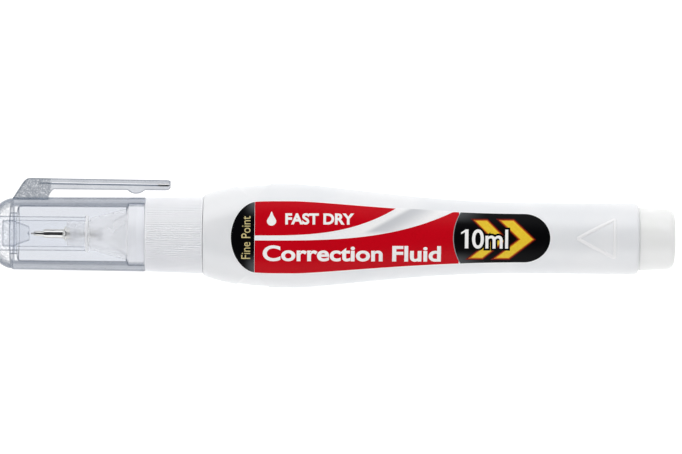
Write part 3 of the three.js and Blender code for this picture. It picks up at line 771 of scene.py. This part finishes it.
def makeCap():
    c, n, v, p = capForm, noseForm, sleeveForm, padForm
    shoulder, mouth = c["shoulder"], c["mouth"]
    hole = v["radius"] + c["holeRoom"]
    endWall = shoulder + c["endWall"]
    step = mouth - c["socketDepth"]
    turned("cap_barrel", [
        (mouth, c["socket"], c["edge"]), (mouth, c["mouthRadius"], c["mouthRound"]),
        (shoulder, c["shoulderRadius"], c["shoulderRound"]), (shoulder, hole),
        (endWall, hole, c["edge"]), (endWall, c["bore"], c["endRound"]), (step, c["bore"], c["edge"]),
        (step + c["socketRamp"], c["socket"], c["socketRound"]),
    ], "cap", clear["capOuter"], sides=c["sides"], nodes=["cap_tube"], slot="clear_plastic")
    # painted shade: the cap's inside faces are drawn darker
    recolour("cap_barrel", clear["capInner"], lambda s, r, inwards: inwards)
    # the wall is thin round the mouth, so it tints less there
    outside = c["mouthRadius"] - c["mouthSkin"]
    inside = c["socket"] + c["socketSkin"]
    recolour("cap_barrel", clear["capMouthPlastic"], lambda s, r, inwards: s > step and r > outside)
    recolour("cap_barrel", clear["capSocketPlastic"], lambda s, r, inwards: s > step and r < inside)
    rear = shoulder - seatGap
    length = rear - alongSpan("cap_nose")[0]
    front = alongSpan("seal_sleeve")[0]
    dome = []
    for k in range(n["steps"] + 1):
        share = n["cut"] * math.sin(math.pi / 2 * (1 - k / n["steps"]))
        radius = n["radius"] * (1 - share ** n["power"]) ** (1 / n["power"])
        dome.append((rear - length * share / n["cut"], radius))
    turned("cap_nose_dome", [
        (rear - length, 0.0), *dome, (rear, hole - seatGap), (endWall, hole - seatGap, c["edge"]),
        (endWall, v["radius"] + seatGap), (front - seatGap, v["radius"] + seatGap),
        (front - seatGap, 0.0),
    ], "cap", clear["nosePlastic"], sides=c["sides"], nodes=["cap_nose"], slot="clear_plastic")
    face = rear - n["faceSkin"]
    recolour("cap_nose_dome", clear["sleevePlastic"], lambda s, r, inwards: s > face or r < hole)
    rim = v["mouth"]
    turned("inner_sleeve", [
        (front, 0.0), (front, v["radius"], v["frontRound"]),
        (rim - v["rimRun"], v["radius"], v["runRound"]),
        (rim - v["rimLength"], v["rimRadius"], v["rimFront"]), (rim, v["rimRadius"], v["rimRear"]),
        (rim, v["bore"] + v["mouthLip"], v["mouthRound"]),
        (rim - v["mouthRamp"], v["bore"], v["runRound"]),
        (front + v["wall"], v["bore"], v["frontRound"]), (front + v["wall"], 0.0),
    ], "cap", clear["sleevePlastic"], sides=v["sides"], nodes=["seal_sleeve"], slot="clear_plastic")
    # painted highlight: the faces at the sleeve's rim are drawn white for the glint there
    recolour("inner_sleeve", clear["rimPlastic"], lambda s, r, inwards: s > rim - v["glintReach"])
    padFront, padRear = alongSpan("tip_pad")
    turned("needle_pad", [
        (padFront, 0.0), (padFront, p["radius"], p["frontRound"]),
        (padFront + p["length"], p["radius"], p["shoulderRound"]),
        (padRear, p["rearRadius"], p["frontRound"]), (padRear, p["dimple"], p["dimpleRound"]),
        (padRear - p["dimpleDepth"], 0.0),
    ], "cap", clear["padSilicone"], sides=p["sides"], nodes=["tip_pad"], slot="pad_rubber")


makeCap()

clipForm = {
    "front": -39.08, "free": -6.88, "top": 11.32, "under": 9.08, "halfWidth": 2.3, "webHalfWidth": 1.75,
    "foot": 6.9, "rootRise": 2.2, "rootRear": -31.8, "rootFillet": 1.0, "rootExtra": 0.35,
    "slopeStart": 7.1, "slopeRise": 3.5, "slopeBlend": 1.3, "levelFrom": -34.0, "endDrop": 0.2,
    "heel": 7.35, "heelPower": 0.55, "tipRun": 1.0, "tipLift": 0.3,
    "bumpAt": -13.88, "bumpRadius": 2.4, "bumpDrop": 0.75, "bumpBlend": 0.2,
    "leastTall": 0.1, "fullTall": 2.0, "endRun": 0.5, "endShrink": 0.35, "webShrink": 0.3,
    # corners of the section: how far down from the top, or up from below, and in from the side
    "plateCorners": [(0.0, 0.35), (0.1, 0.1), (0.35, 0.0), (0.75, 0.0), (0.95, 0.1)],
    "webCorners": [(1.07, -0.08), (1.25, 0.0)],
    "footCorners": [(0.35, 0.0), (0.1, 0.12), (0.0, 0.4)],
    "bendFrom": -34.6, "bendTo": -31.0, "bendHeight": 10.2, "rootSpeckle": 0.4,
    "glintFrom": 2.6, "glintTo": 0.3, "sharpAngle": 50,
}
# the finish of each strip of the section, counted from the top's middle; strip 5 carries a painted
# highlight line and strips 6 and 7 a painted shade line
clipStrips = {
    "capOuter": (0, 1, 11, 12), "clipPlastic": (2, 3, 4), "clipLight": (5,), "clipDark": (6, 7),
    "clipWeb": (8, 9, 10),
}
# near the clip's free end: a painted glint strip above a dark painted reflection streak
clipGlintStrips = {5: "rimPlastic", 6: "streakPlastic", 7: "streakPlastic"}


def clipTop(s):
    c = clipForm
    slope = c["slopeStart"] + (s - c["front"]) / c["rootRise"] * c["slopeRise"]
    along = (s - c["levelFrom"]) / (c["free"] - c["levelFrom"])
    return softMin(slope, c["top"] - c["endDrop"] * max(0.0, along), c["slopeBlend"])


def clipUnder(s):
    c = clipForm
    if s < c["rootRear"]:
        return c["foot"]
    t = min(1.0, (s - c["rootRear"]) / c["rootFillet"])
    height = c["heel"] + (c["under"] - c["heel"]) * t ** c["heelPower"]
    away = abs(s - c["bumpAt"])
    if away < c["bumpRadius"]:
        curve = c["bumpRadius"] - math.sqrt(c["bumpRadius"] ** 2 - away ** 2)
        height = softMin(height, c["under"] - c["bumpDrop"] + curve, c["bumpBlend"])
    lift = max(0.0, (s - (c["free"] - c["tipRun"])) / c["tipRun"])
    return height + c["tipLift"] * lift * lift


def clipRing(s):
    # half of the section from the top's middle, round the side, to the underside's middle, then back
    c = clipForm
    top, under = clipTop(s), clipUnder(s)
    k = min(1.0, max(c["leastTall"], top - under) / c["fullTall"])
    end = max(0.0, (s - (c["free"] - c["endRun"])) / c["endRun"])
    shrink = c["endShrink"] * end ** 2
    wide = c["halfWidth"] - shrink
    extra = 0.0 if s > c["rootRear"] - c["rootRise"] else c["rootExtra"]
    web = min(wide, c["webHalfWidth"] + extra) - shrink * c["webShrink"]
    half = [(top, 0.0), (top, wide / 2)]
    half += [(top - down * k, wide - inset) for down, inset in c["plateCorners"]]
    half += [(top - down * k, web - inset) for down, inset in c["webCorners"]]
    half += [(under + up * k, web - inset) for up, inset in c["footCorners"]]
    half += [(under, web / 2), (under, 0.0)]
    other = [(y, -z) for y, z in reversed(half[1:-1])]
    middle = (top + under) / 2
    return [(s, y - (shrink if y > middle else -shrink) / 2, z) for y, z in half + other]


def clipPlaces():
    # closer together where the clip bends or ends
    c = clipForm
    root, bump, free = c["rootRear"], c["bumpAt"], c["free"]
    heel = root + c["rootFillet"]
    stretches = [
        (c["front"], c["levelFrom"], 26), (c["levelFrom"] + 0.3, root - 0.02, 6),
        (root + 0.0001, heel, 14, 1.6), (heel + 0.4, bump - 2.6, 24), (bump - 2.4, bump + 2.4, 24),
        (bump + 2.6, free - c["endRun"], 8), (free - 0.4, free, 6),
    ]
    return [s for stretch in stretches for s in spaced(*stretch)]


def makeClip():
    c = clipForm
    rings = [clipRing(s) for s in clipPlaces()]
    clip = lofted("cap_clip_arm", rings, None, clear["clipPlastic"], closed=False, nodes=["cap_clip"],
                  slot="clear_plastic", sharpAngle=c["sharpAngle"])
    for name in ("capOuter", "clipLight", "clipDark", "clipWeb", "rootPlastic", "rimPlastic",
                 "streakPlastic"):
        clip.data.materials.append(clear[name])
    places = {material.name: i for i, material in enumerate(clip.data.materials)}
    stripOf = {at: name for name, strips in clipStrips.items() for at in strips}
    count = len(rings[0])
    for face in clip.data.polygons:
        lowest = min(face.vertices) % count
        at = min(lowest, count - 1 - lowest)
        s = face.center.x / mm - seamX
        name = stripOf.get(at, "clipPlastic")
        if s < c["rootRear"] + c["rootSpeckle"]:
            name = "rootPlastic"
        # painted glint and reflection streak near the free end
        if c["free"] - c["glintFrom"] < s < c["free"] - c["glintTo"]:
            name = clipGlintStrips.get(at, name)
        face.material_index = places[name]
    toFrame(c["bendFrom"], c["bendHeight"], 0)
    toFrame(c["bendTo"], c["bendHeight"], 0)
    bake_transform(clip)


makeClip()
print("clear cap and clip made")

labelForm = {
    "front": 5.6, "length": 65.2, "end": 5.4, "share": 0.705, "under": 0.015, "outer": 0.06,
    "inkStep": 0.014, "margin": 0.16, "drop": -0.36, "sharpAngle": 70,
}
labelRear = labelForm["front"] + labelForm["length"]


def edgeOf(s, margin):
    # half the height of the label at s, less a margin all round
    f = labelForm
    fromEnd = min(s - f["front"], labelRear - s) - margin
    end = min(1.0, max(0.0, fromEnd / (f["end"] - margin)))
    return (f["share"] * section(s)[0] - margin) * math.sqrt(1 - (1 - end) ** 2)


def filmTop(s):
    return edgeOf(s, 0.0)


def filmBottom(s):
    return -edgeOf(s, 0.0)


def inkTop(s):
    return edgeOf(s, labelForm["margin"])


def inkBottom(s):
    return -edgeOf(s, labelForm["margin"])


def onLabel(s, y, lift, face=1):
    # the label sits a little low at its front end
    f = labelForm
    y += f["drop"] * max(0.0, 1 - (s - f["front"]) / f["length"])
    return (s, y * face, faceHeight(s, y, lift) * face)


def layerHeights(layer):
    # the film is layer 0 and the inks stand on it one above another
    if layer == 0:
        return labelForm["under"], labelForm["outer"]
    low = labelForm["outer"] + (layer - 1) * labelForm["inkStep"]
    return low, low + labelForm["inkStep"]


def labelSheet(name, columns, layer, material, face=1, nodes=()):
    # columns of (s, y) points, all of one count, made into a thin closed film on the bottle's face
    low, high = layerHeights(layer)
    rows = len(columns[0])
    flatPoints = [p for column in columns for p in column]
    points = [onLabel(s, y, high, face) for s, y in flatPoints]
    points += [onLabel(s, y, low, face) for s, y in flatPoints]
    below = len(flatPoints)
    faces = []
    for i in range(len(columns) - 1):
        for k in range(rows - 1):
            a = i * rows + k
            quad = (a, a + 1, a + rows + 1, a + rows)
            faces.append(quad)
            faces.append(tuple(below + q for q in reversed(quad)))
    last = (len(columns) - 1) * rows
    rim = list(range(rows)) + [i * rows + rows - 1 for i in range(1, len(columns))]
    rim += [last + k for k in range(rows - 2, -1, -1)]
    rim += [i * rows for i in range(len(columns) - 2, 0, -1)]
    for a, b in zip(rim, rim[1:] + rim[:1]):
        faces.append((a, b, below + b, below + a))
    return makePiece(name, points, faces, "pen", material, nodes=nodes, slot="label_film",
                     sharpAngle=labelForm["sharpAngle"])


easing = 0.75  # how much closer the eased columns stand near both ends


def between(start, end, lower, upper, columns, rows, ease=False):
    # a sheet's columns between two edges that are functions of s
    made = []
    for i in range(columns + 1):
        share = i / columns
        if ease:
            share = (0.5 - 0.5 * math.cos(math.pi * share)) * easing + share * (1 - easing)
        s = start + (end - start) * share
        low, high = lower(s), upper(s)
        made.append([(s, low + (high - low) * k / rows) for k in range(rows + 1)])
    return made


inkLook = {
    "dotScale": 2600.0, "driftScale": 90.0, "toneSpread": 0.15,
    "roughness": 0.4, "roughnessSpread": 0.08, "specular": 0.05,
}
# painted shade on the white film and painted reflection on the black print; each pair is where it begins
# and where it is full
filmPaintedShade = {
    "slant": 1.8, "starts": (30.6, 32.8), "ends": (33.0, 40.0), "above": (0.2, 1.4),
    "colour": (206, 208, 212),
}
blackPaintedReflection = {
    "frontStarts": (8.2, 10.6), "frontEnds": (10.7, 12.0), "frontAcross": (3.4, 6.6),
    "tailStarts": (44.0, 50.0), "tailEnds": (50.5, 58.0), "tailAcross": (2.6, 5.2),
    "colour": (92, 95, 98), "strength": 0.8,
}


def paintedShadeBand(paint, tone):
    # painted shade: a grey slanting band on the white film where the swoosh widens
    look = filmPaintedShade
    s, across = paint.penPlace()
    slant = s - across * look["slant"]
    band = paint.ranged(slant, *look["starts"]) * (1 - paint.ranged(slant, *look["ends"]))
    return paint.mix(band * paint.ranged(across, *look["above"]), tone, rgba(*look["colour"]))


def paintedReflectionCorners(paint, tone):
    # painted reflection: the black print is drawn grey at the corners beside the red
    look = blackPaintedReflection
    s, y = paint.penPlace()
    across = abs(y)
    front = paint.ranged(s, *look["frontStarts"]) * (1 - paint.ranged(s, *look["frontEnds"]))
    tail = paint.ranged(s, *look["tailStarts"]) * (1 - paint.ranged(s, *look["tailEnds"]))
    corners = front * paint.ranged(across, *look["frontAcross"])
    corners = corners + tail * paint.ranged(across, *look["tailAcross"])
    return paint.mix(corners.clamped() * look["strength"], tone, rgba(*look["colour"]))


def printedInk(name, colour, shade, sheen=None):
    # gloss print: a fine dot grain in tone and gloss
    paint = Paint(name)
    dots = paint.noise(inkLook["dotScale"])
    pattern = dots * 0.5 + paint.noise(inkLook["driftScale"]) * 0.5
    tone = paint.twoTone(pattern, {"colour": colour, "shade": shade}, inkLook["toneSpread"])
    return paint.finish(
        Base_Color=sheen(paint, tone) if sheen else tone,
        Roughness=inkLook["roughness"] + dots * inkLook["roughnessSpread"],
        Specular_IOR_Level=inkLook["specular"],
    )


inks = {name: printedInk(name, *look) for name, look in {
    "labelFilm": ((250, 250, 250), (243, 244, 246), paintedShadeBand),
    "blackInk": ((7, 7, 9), (4, 4, 6), paintedReflectionCorners),
    "redInk": ((200, 0, 22), (192, 0, 19)),
    "whiteInk": ((250, 249, 248), (244, 243, 242)),
    "goldInk": ((218, 205, 150), (205, 190, 132)),
    "yellowInk": ((240, 208, 60), (234, 196, 48)),
    "orangeInk": ((206, 112, 34), (196, 98, 28)),
    "emberInk": ((112, 18, 14), (98, 12, 10)),
    "greyInk": ((150, 152, 155), (140, 142, 146)),
}.items()}

labelPrint = {
    "redStart": 10.6, "endGap": 0.06, "upperStart": 0.36, "upperEnd": 39.2, "upperPower": 3.1,
    "lowerStart": -0.66, "lowerEnd": 50.9, "lowerPower": 3.25, "lowerRun": 1.2,
    "tailMiddle": 51.0, "tailBow": 1.5, "tailHalf": 5.2, "tailRows": 24, "tailColumns": 70,
    "lineBefore": 0.14, "lineAfter": 0.02,
}
filmGrid = (160, 28)
endGrid = (40, 28)


def upperRedEdge(s):
    p = labelPrint
    share = (s - p["redStart"]) / (p["upperEnd"] - p["redStart"])
    return p["upperStart"] + (inkTop(p["upperEnd"]) - p["upperStart"]) * share ** p["upperPower"]


def lowerRedEdge(s):
    p = labelPrint
    share = (s - p["redStart"]) / (p["lowerEnd"] - p["redStart"])
    rise = (inkTop(p["lowerEnd"]) - p["lowerStart"]) * share ** p["lowerPower"]
    return min(inkTop(s), p["lowerStart"] + rise)


def makeFrontLabel():
    f, p = labelForm, labelPrint
    inkFront = f["front"] + f["margin"]
    labelSheet("label_film_front", between(f["front"], labelRear, filmBottom, filmTop, *filmGrid, True),
               0, inks["labelFilm"], nodes=["front_label"])
    labelSheet("print_front_end", between(inkFront, p["redStart"] - p["endGap"], inkBottom, inkTop,
                                          *endGrid, True), 1, inks["blackInk"])
    labelSheet("print_red_above", between(p["redStart"], p["upperEnd"], upperRedEdge, inkTop, 90, 14),
               1, inks["redInk"])
    labelSheet("print_red_below", between(p["redStart"], p["lowerEnd"] + p["lowerRun"], inkBottom,
                                          lowerRedEdge, 120, 22), 1, inks["redInk"])
    # the black tail starts in a shallow arc
    starts = []
    for i in range(p["tailRows"] + 1):
        v = -1 + 2 * i / p["tailRows"]
        y = v * inkTop(p["tailMiddle"] + p["tailBow"])
        starts.append((v, p["tailMiddle"] + p["tailBow"] * (abs(y) / p["tailHalf"]) ** 2))
    columns = []
    for i in range(p["tailColumns"] + 1):
        share = math.sin(math.pi / 2 * i / p["tailColumns"])
        places = [(v, start + (labelRear - f["margin"] - start) * share) for v, start in starts]
        columns.append([(s, v * inkTop(s)) for v, s in places])
    labelSheet("print_tail", columns, 2, inks["blackInk"])
    border = [[(start + step, v * inkTop(start)) for v, start in starts]
              for step in (-p["lineBefore"], p["lineAfter"])]
    labelSheet("print_tail_line", border, 3, inks["greyInk"])


makeFrontLabel()

printForm = {
    "fontSize": 4.0, "fontSteps": 6, "thickness": 0.1, "merge": 1e-5, "cuts": (0.8, 0.5),
    "sharpAngle": 60,
}


def outlineCurve(name, loop, extrude, spread):
    curve = bpy.data.curves.new(name, "CURVE")
    curve.dimensions = "2D"
    curve.fill_mode = "BOTH"
    curve.extrude = extrude
    curve.offset = spread
    spline = curve.splines.new("POLY")
    spline.points.add(len(loop) - 1)
    for point, (u, v) in zip(spline.points, loop):
        point.co = (u, v, 0.0, 1.0)
    spline.use_cyclic_u = True
    return curve


def wordCurve(name, text, extrude, spread):
    curve = bpy.data.curves.new(name, "FONT")
    curve.body = text
    curve.size = printForm["fontSize"]
    curve.extrude = extrude
    curve.offset = spread
    curve.resolution_u = printForm["fontSteps"]
    return curve


def flatShape(curve):
    # the curve's filled mesh, as a bmesh
    holder = bpy.data.objects.new("holder", curve)
    bpy.context.scene.collection.objects.link(holder)
    bpy.context.view_layer.update()
    seen = holder.evaluated_get(bpy.context.evaluated_depsgraph_get())
    mesh = bpy.data.meshes.new_from_object(seen)
    work = bmesh.new()
    work.from_mesh(mesh)
    bpy.data.objects.remove(holder)
    bpy.data.meshes.remove(mesh)
    bpy.data.curves.remove(curve)
    bmesh.ops.remove_doubles(work, verts=work.verts, dist=printForm["merge"])
    return work


def spanOf(work, axis):
    places = [v.co[axis] for v in work.verts]
    return min(places), max(places)


def printShape(name, work, place, layer, material):
    # cuts a flat shape finely and lays it on the label: place turns (u, v) into (s, y)
    for axis, step in enumerate(printForm["cuts"]):
        low, high = spanOf(work, axis)
        at = low + step
        while at < high:
            where, along = Vector((0, 0, 0)), Vector((0, 0, 0))
            where[axis], along[axis] = at, 1.0
            geometry = [*work.verts, *work.edges, *work.faces]
            bmesh.ops.bisect_plane(work, geom=geometry, dist=printForm["merge"], plane_co=where,
                                   plane_no=along)
            at += step
    low, high = layerHeights(layer)
    work.verts.ensure_lookup_table()
    points = []
    for v in work.verts:
        s, y = place(v.co.x, v.co.y)
        points.append(onLabel(s, y, high if v.co.z > 0 else low))
    faces = [[v.index for v in f.verts] for f in work.faces]
    makePiece(name, points, faces, "pen", material, slot="label_film", sharpAngle=printForm["sharpAngle"])
    work.free()


def printOutline(name, loop, layer, ink, spread=0.0):
    work = flatShape(outlineCurve(name, loop, printForm["thickness"], spread))
    printShape(name, work, lambda u, v: (u, v), layer, inks[ink])


def printWords(name, word, layer, ink, spread, upright=False):
    # the words fill their box and spread thickens their strokes
    left, right, bottom, top = word["box"]
    plain = flatShape(wordCurve(name + "Plain", word["text"], 0.0, 0.0))
    uLow, uHigh = spanOf(plain, 0)
    vLow, vHigh = spanOf(plain, 1)
    plain.free()
    work = flatShape(wordCurve(name, word["text"], printForm["thickness"], spread))
    long, tall = (top - bottom, right - left) if upright else (right - left, top - bottom)
    uScale = long / (uHigh - uLow)
    vScale = tall / (vHigh - vLow)

    def place(u, v):
        along, above = (u - uLow) * uScale, (v - vLow) * vScale
        return (right - above, bottom + along) if upright else (left + along, bottom + above)

    printShape(name, work, place, layer, inks[ink])


dropForm = {"u": 14.0, "v": 3.3, "radius": 0.95, "tall": 1.0, "points": 32, "power": 2.2, "pinch": 0.55}


def droplet():
    # a round drop with its point upwards
    d = dropForm
    loop = []
    for k in range(d["points"]):
        angle = 2 * math.pi * k / d["points"]
        up = max(0.0, math.cos(angle)) ** d["power"]
        loop.append((
            d["u"] + d["radius"] * math.sin(angle) * (1 - d["pinch"] * up),
            d["v"] + d["radius"] * math.cos(angle) + d["tall"] * up * up,
        ))
    return loop


chevronForm = {"low": -4.0, "high": 3.5, "lean": 0.12, "places": [(55.0, 4.2, 2.3), (60.2, 4.4, 2.5)]}
chevronInks = [("glow", 0.42, 3, "emberInk"), ("edge", 0.2, 4, "orangeInk"), ("fill", 0.0, 5, "yellowInk")]


def chevron(left, wide, stroke):
    low, high, lean = (chevronForm[key] for key in ("low", "high", "lean"))
    middle = (low + high) / 2
    corners = [
        (left, low), (left + stroke, low), (left + stroke + wide, middle), (left + stroke, high),
        (left, high), (left + wide, middle),
    ]
    return [(u + lean * (v - middle), v) for u, v in corners]


oneForm = {
    "left": 52.5, "right": 54.0, "low": -2.1, "high": 1.75, "stem": 0.72, "flag": 0.62,
    "neck": 0.75, "flagLow": 1.55, "flagIn": 0.95, "edge": 0.22,
}


def numeralOne():
    # a plain upright 1 with a short flag
    left, right, low, high, stem, flag = list(oneForm.values())[:6]
    return [
        (right - stem, low), (right, low), (right, high), (right - stem * oneForm["neck"], high),
        (left, high - flag), (left, high - flag * oneForm["flagLow"]),
        (right - stem, high - flag * oneForm["flagIn"]),
    ]


# each box is the left and right end and the bottom and top of the words
labelWords = {
    "main": {"text": "Correction Fluid", "box": (12.4, 48.3, -4.75, -1.75), "spread": 0.11},
    "upper": {"text": "FAST DRY", "box": (16.9, 30.5, 2.7, 4.8), "spread": 0.15},
    "tip": {"text": "Fine Point", "box": (7.9, 9.75, -4.4, 4.3), "spread": 0.0},
    "amount": {"text": "0ml", "box": (54.8, 62.0, -2.1, 1.7), "spread": 0.06, "edge": 0.36},
}


def makeFrontPrint():
    w = labelWords
    printWords("print_main_words", w["main"], 2, "whiteInk", w["main"]["spread"])
    printWords("print_upper_words", w["upper"], 2, "whiteInk", w["upper"]["spread"])
    printWords("print_tip_words", w["tip"], 2, "goldInk", w["tip"]["spread"], upright=True)
    printOutline("print_drop", droplet(), 2, "whiteInk")
    for name, spread, layer, ink in chevronInks:
        for i, place in enumerate(chevronForm["places"]):
            printOutline(f"print_arrow_{name}_{i + 1}", chevron(*place), layer, ink, spread)
    printOutline("print_amount_one_edge", numeralOne(), 6, "blackInk", oneForm["edge"])
    printOutline("print_amount_one", numeralOne(), 7, "whiteInk")
    printWords("print_amount_edge", w["amount"], 6, "blackInk", w["amount"]["edge"])
    printWords("print_amount", w["amount"], 7, "whiteInk", w["amount"]["spread"])


makeFrontPrint()

backLines = {
    "count": 7, "top": 3.9, "apart": 1.3, "half": 0.18, "start": 14.0, "end": 56.0, "shorter": 3.5,
    "cycle": 3,
}


def makeBackLabel():
    # plain white film with a red end and lines that stand for the small print
    f, b = labelForm, backLines
    labelSheet("label_film_back", between(f["front"], labelRear, filmBottom, filmTop, *filmGrid, True),
               0, inks["whiteInk"], face=-1, nodes=["back_label"])
    labelSheet("print_back_end", between(f["front"] + f["margin"], labelPrint["redStart"], inkBottom,
                                         inkTop, *endGrid, True), 1, inks["redInk"], face=-1)
    for i in range(b["count"]):
        y = b["top"] - b["apart"] * i
        end = b["end"] - b["shorter"] * (i % b["cycle"])
        line = between(b["start"], end, lambda s: y - b["half"], lambda s: y + b["half"], 60, 2)
        labelSheet(f"print_back_line_{i + 1}", line, 1, inks["greyInk"], face=-1)


makeBackLabel()
print("labels and print made")

# inner CAD pieces stay, with finishes of their own
keptFinishes = {
    "neck_gasket": plastics["neckRubber"], "valve_seat": plastics["valvePlastic"],
    "valve_plunger": plastics["valvePlastic"], "valve_spring": valveSteel,
    "spring_seat": plastics["valvePlastic"], "mixing_ball": valveSteel,
}
for node, finish in keptFinishes.items():
    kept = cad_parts[node]
    kept.data.materials.clear()
    kept.data.materials.append(finish)

clearPieces = ["tip_nozzle", "needle_pad", "cap_barrel", "cap_nose_dome", "inner_sleeve", "cap_clip_arm"]
for name in clearPieces:
    bpy.data.objects[name].visible_shadow = False
    bpy.data.objects[name].visible_diffuse = False

# metres, apart from the lights' strengths
studio = {
    "floorGlow": 0.8, "floorColour": 0.4, "floorSpread": 0.98, "floorGrain": 30.0, "floorSize": 6.0,
    "floorHeight": -0.00002, "floorRoughness": 0.9,
    "worldTones": [(0.0, 0.24), (0.3, 0.28), (0.75, 0.3)], "worldBlue": 1.01,
    "sideLight": 11.0, "belowShare": 0.76, "sideLong": 1.6, "sideSize": 0.9, "sideAlong": 0.02,
    "sideHigh": 0.76, "sideAway": 0.99,
    "cardLong": 3.2, "cardAway": 1.3, "cardLow": 0.02, "cardHigh": 1.5, "cardGlow": 1.9,
    "flagWide": 2.5, "flagHigh": 1.52, "flagTone": 0.004,
}
white = (1.0, 1.0, 1.0, 1.0)


def stagePlane(name, corners, material, glossOnly=False):
    mesh = bpy.data.meshes.new(name)
    mesh.from_pydata(corners, [], [(0, 1, 2, 3)])
    mesh.materials.append(material)
    plane = bpy.data.objects.new(name, mesh)
    bpy.context.scene.collection.objects.link(plane)
    if glossOnly:
        plane.visible_camera = False
        plane.visible_diffuse = False
        plane.visible_shadow = False
        plane.visible_transmission = False


def level(width, length, height):
    return [(x * width / 2, y * length / 2, height) for x, y in ((-1, -1), (1, -1), (1, 1), (-1, 1))]


def grey(tone):
    return (tone, tone, tone, 1.0)


def makeStudio():
    t = studio
    floor = Paint("floorWhite")
    tone = floor.mix(floor.noise(t["floorGrain"]), grey(t["floorColour"]),
                     grey(t["floorColour"] * t["floorSpread"]))
    floorWhite = floor.finish(Base_Color=tone, Roughness=t["floorRoughness"], Specular_IOR_Level=0.0,
                              Emission_Color=white, Emission_Strength=t["floorGlow"])
    stagePlane("floor", level(t["floorSize"], t["floorSize"], t["floorHeight"]), floorWhite)

    # a black flag overhead and a white card on either side, seen only in reflections
    flagBlack = Paint("flagBlack").finish(Base_Color=grey(t["flagTone"]), Roughness=1.0,
                                          Specular_IOR_Level=0.0)
    stagePlane("flag", level(t["cardLong"], t["flagWide"], t["flagHigh"]), flagBlack, glossOnly=True)
    cardWhite = Paint("cardWhite").finish(Base_Color=grey(0.0), Specular_IOR_Level=0.0,
                                          Emission_Color=white, Emission_Strength=t["cardGlow"])
    half, low, high = t["cardLong"] / 2, t["cardLow"], t["cardHigh"]
    for name, side in (("cardAbove", 1), ("cardBelow", -1)):
        y = side * t["cardAway"]
        corners = [(-half, y, low), (half, y, low), (half, y, high), (-half, y, high)]
        stagePlane(name, corners, cardWhite, glossOnly=True)

    sky = Paint("studioWorld", "worlds")
    bpy.context.scene.world = sky.owner
    stops = [(at, (tone, tone, tone * t["worldBlue"])) for at, tone in t["worldTones"]]
    shade = sky.add("ShaderNodeValToRGB", {"stops": stops}, {0: sky.axes("Generated")[2]})
    light = sky.add("ShaderNodeBackground", sockets={0: shade})
    sky.add("ShaderNodeOutputWorld", sockets={0: light})

    for name, side, share in (("lampAbove", 1, 1.0), ("lampBelow", -1, t["belowShare"])):
        lamp = bpy.data.lights.new(name, "AREA")
        lamp.shape = "RECTANGLE"
        lamp.size = t["sideLong"]
        lamp.size_y = t["sideSize"]
        lamp.energy = t["sideLight"] * share
        holder = bpy.data.objects.new(name, lamp)
        holder.location = (t["sideAlong"], side * t["sideAway"], t["sideHigh"])
        holder.rotation_euler = (-side * math.atan2(t["sideAway"], t["sideHigh"]), 0, 0)
        holder.visible_glossy = False
        bpy.context.scene.collection.objects.link(holder)


makeStudio()

cameraForm = {
    "along": 28.1, "across": 1.9, "above": 900.0, "lens": 232.0, "turn": 0.53, "sensor": 36.0,
    "near": 0.05, "far": 20.0, "clearLayers": 32,
}


def makeCamera():
    c = cameraForm
    scene = bpy.context.scene
    data = bpy.data.cameras.new("camera")
    data.lens = c["lens"]
    data.sensor_width = c["sensor"]
    data.clip_start = c["near"]
    data.clip_end = c["far"]
    camera = bpy.data.objects.new("camera", data)
    camera.location = toFrame(c["along"], c["across"], c["above"])
    camera.rotation_euler = (0.0, 0.0, math.radians(c["turn"]))
    scene.collection.objects.link(camera)
    scene.camera = camera
    scene.cycles.transparent_max_bounces = c["clearLayers"]
    scene.view_settings.view_transform = "Standard"
    scene.view_settings.look = "None"


makeCamera()
print("studio and camera ready")
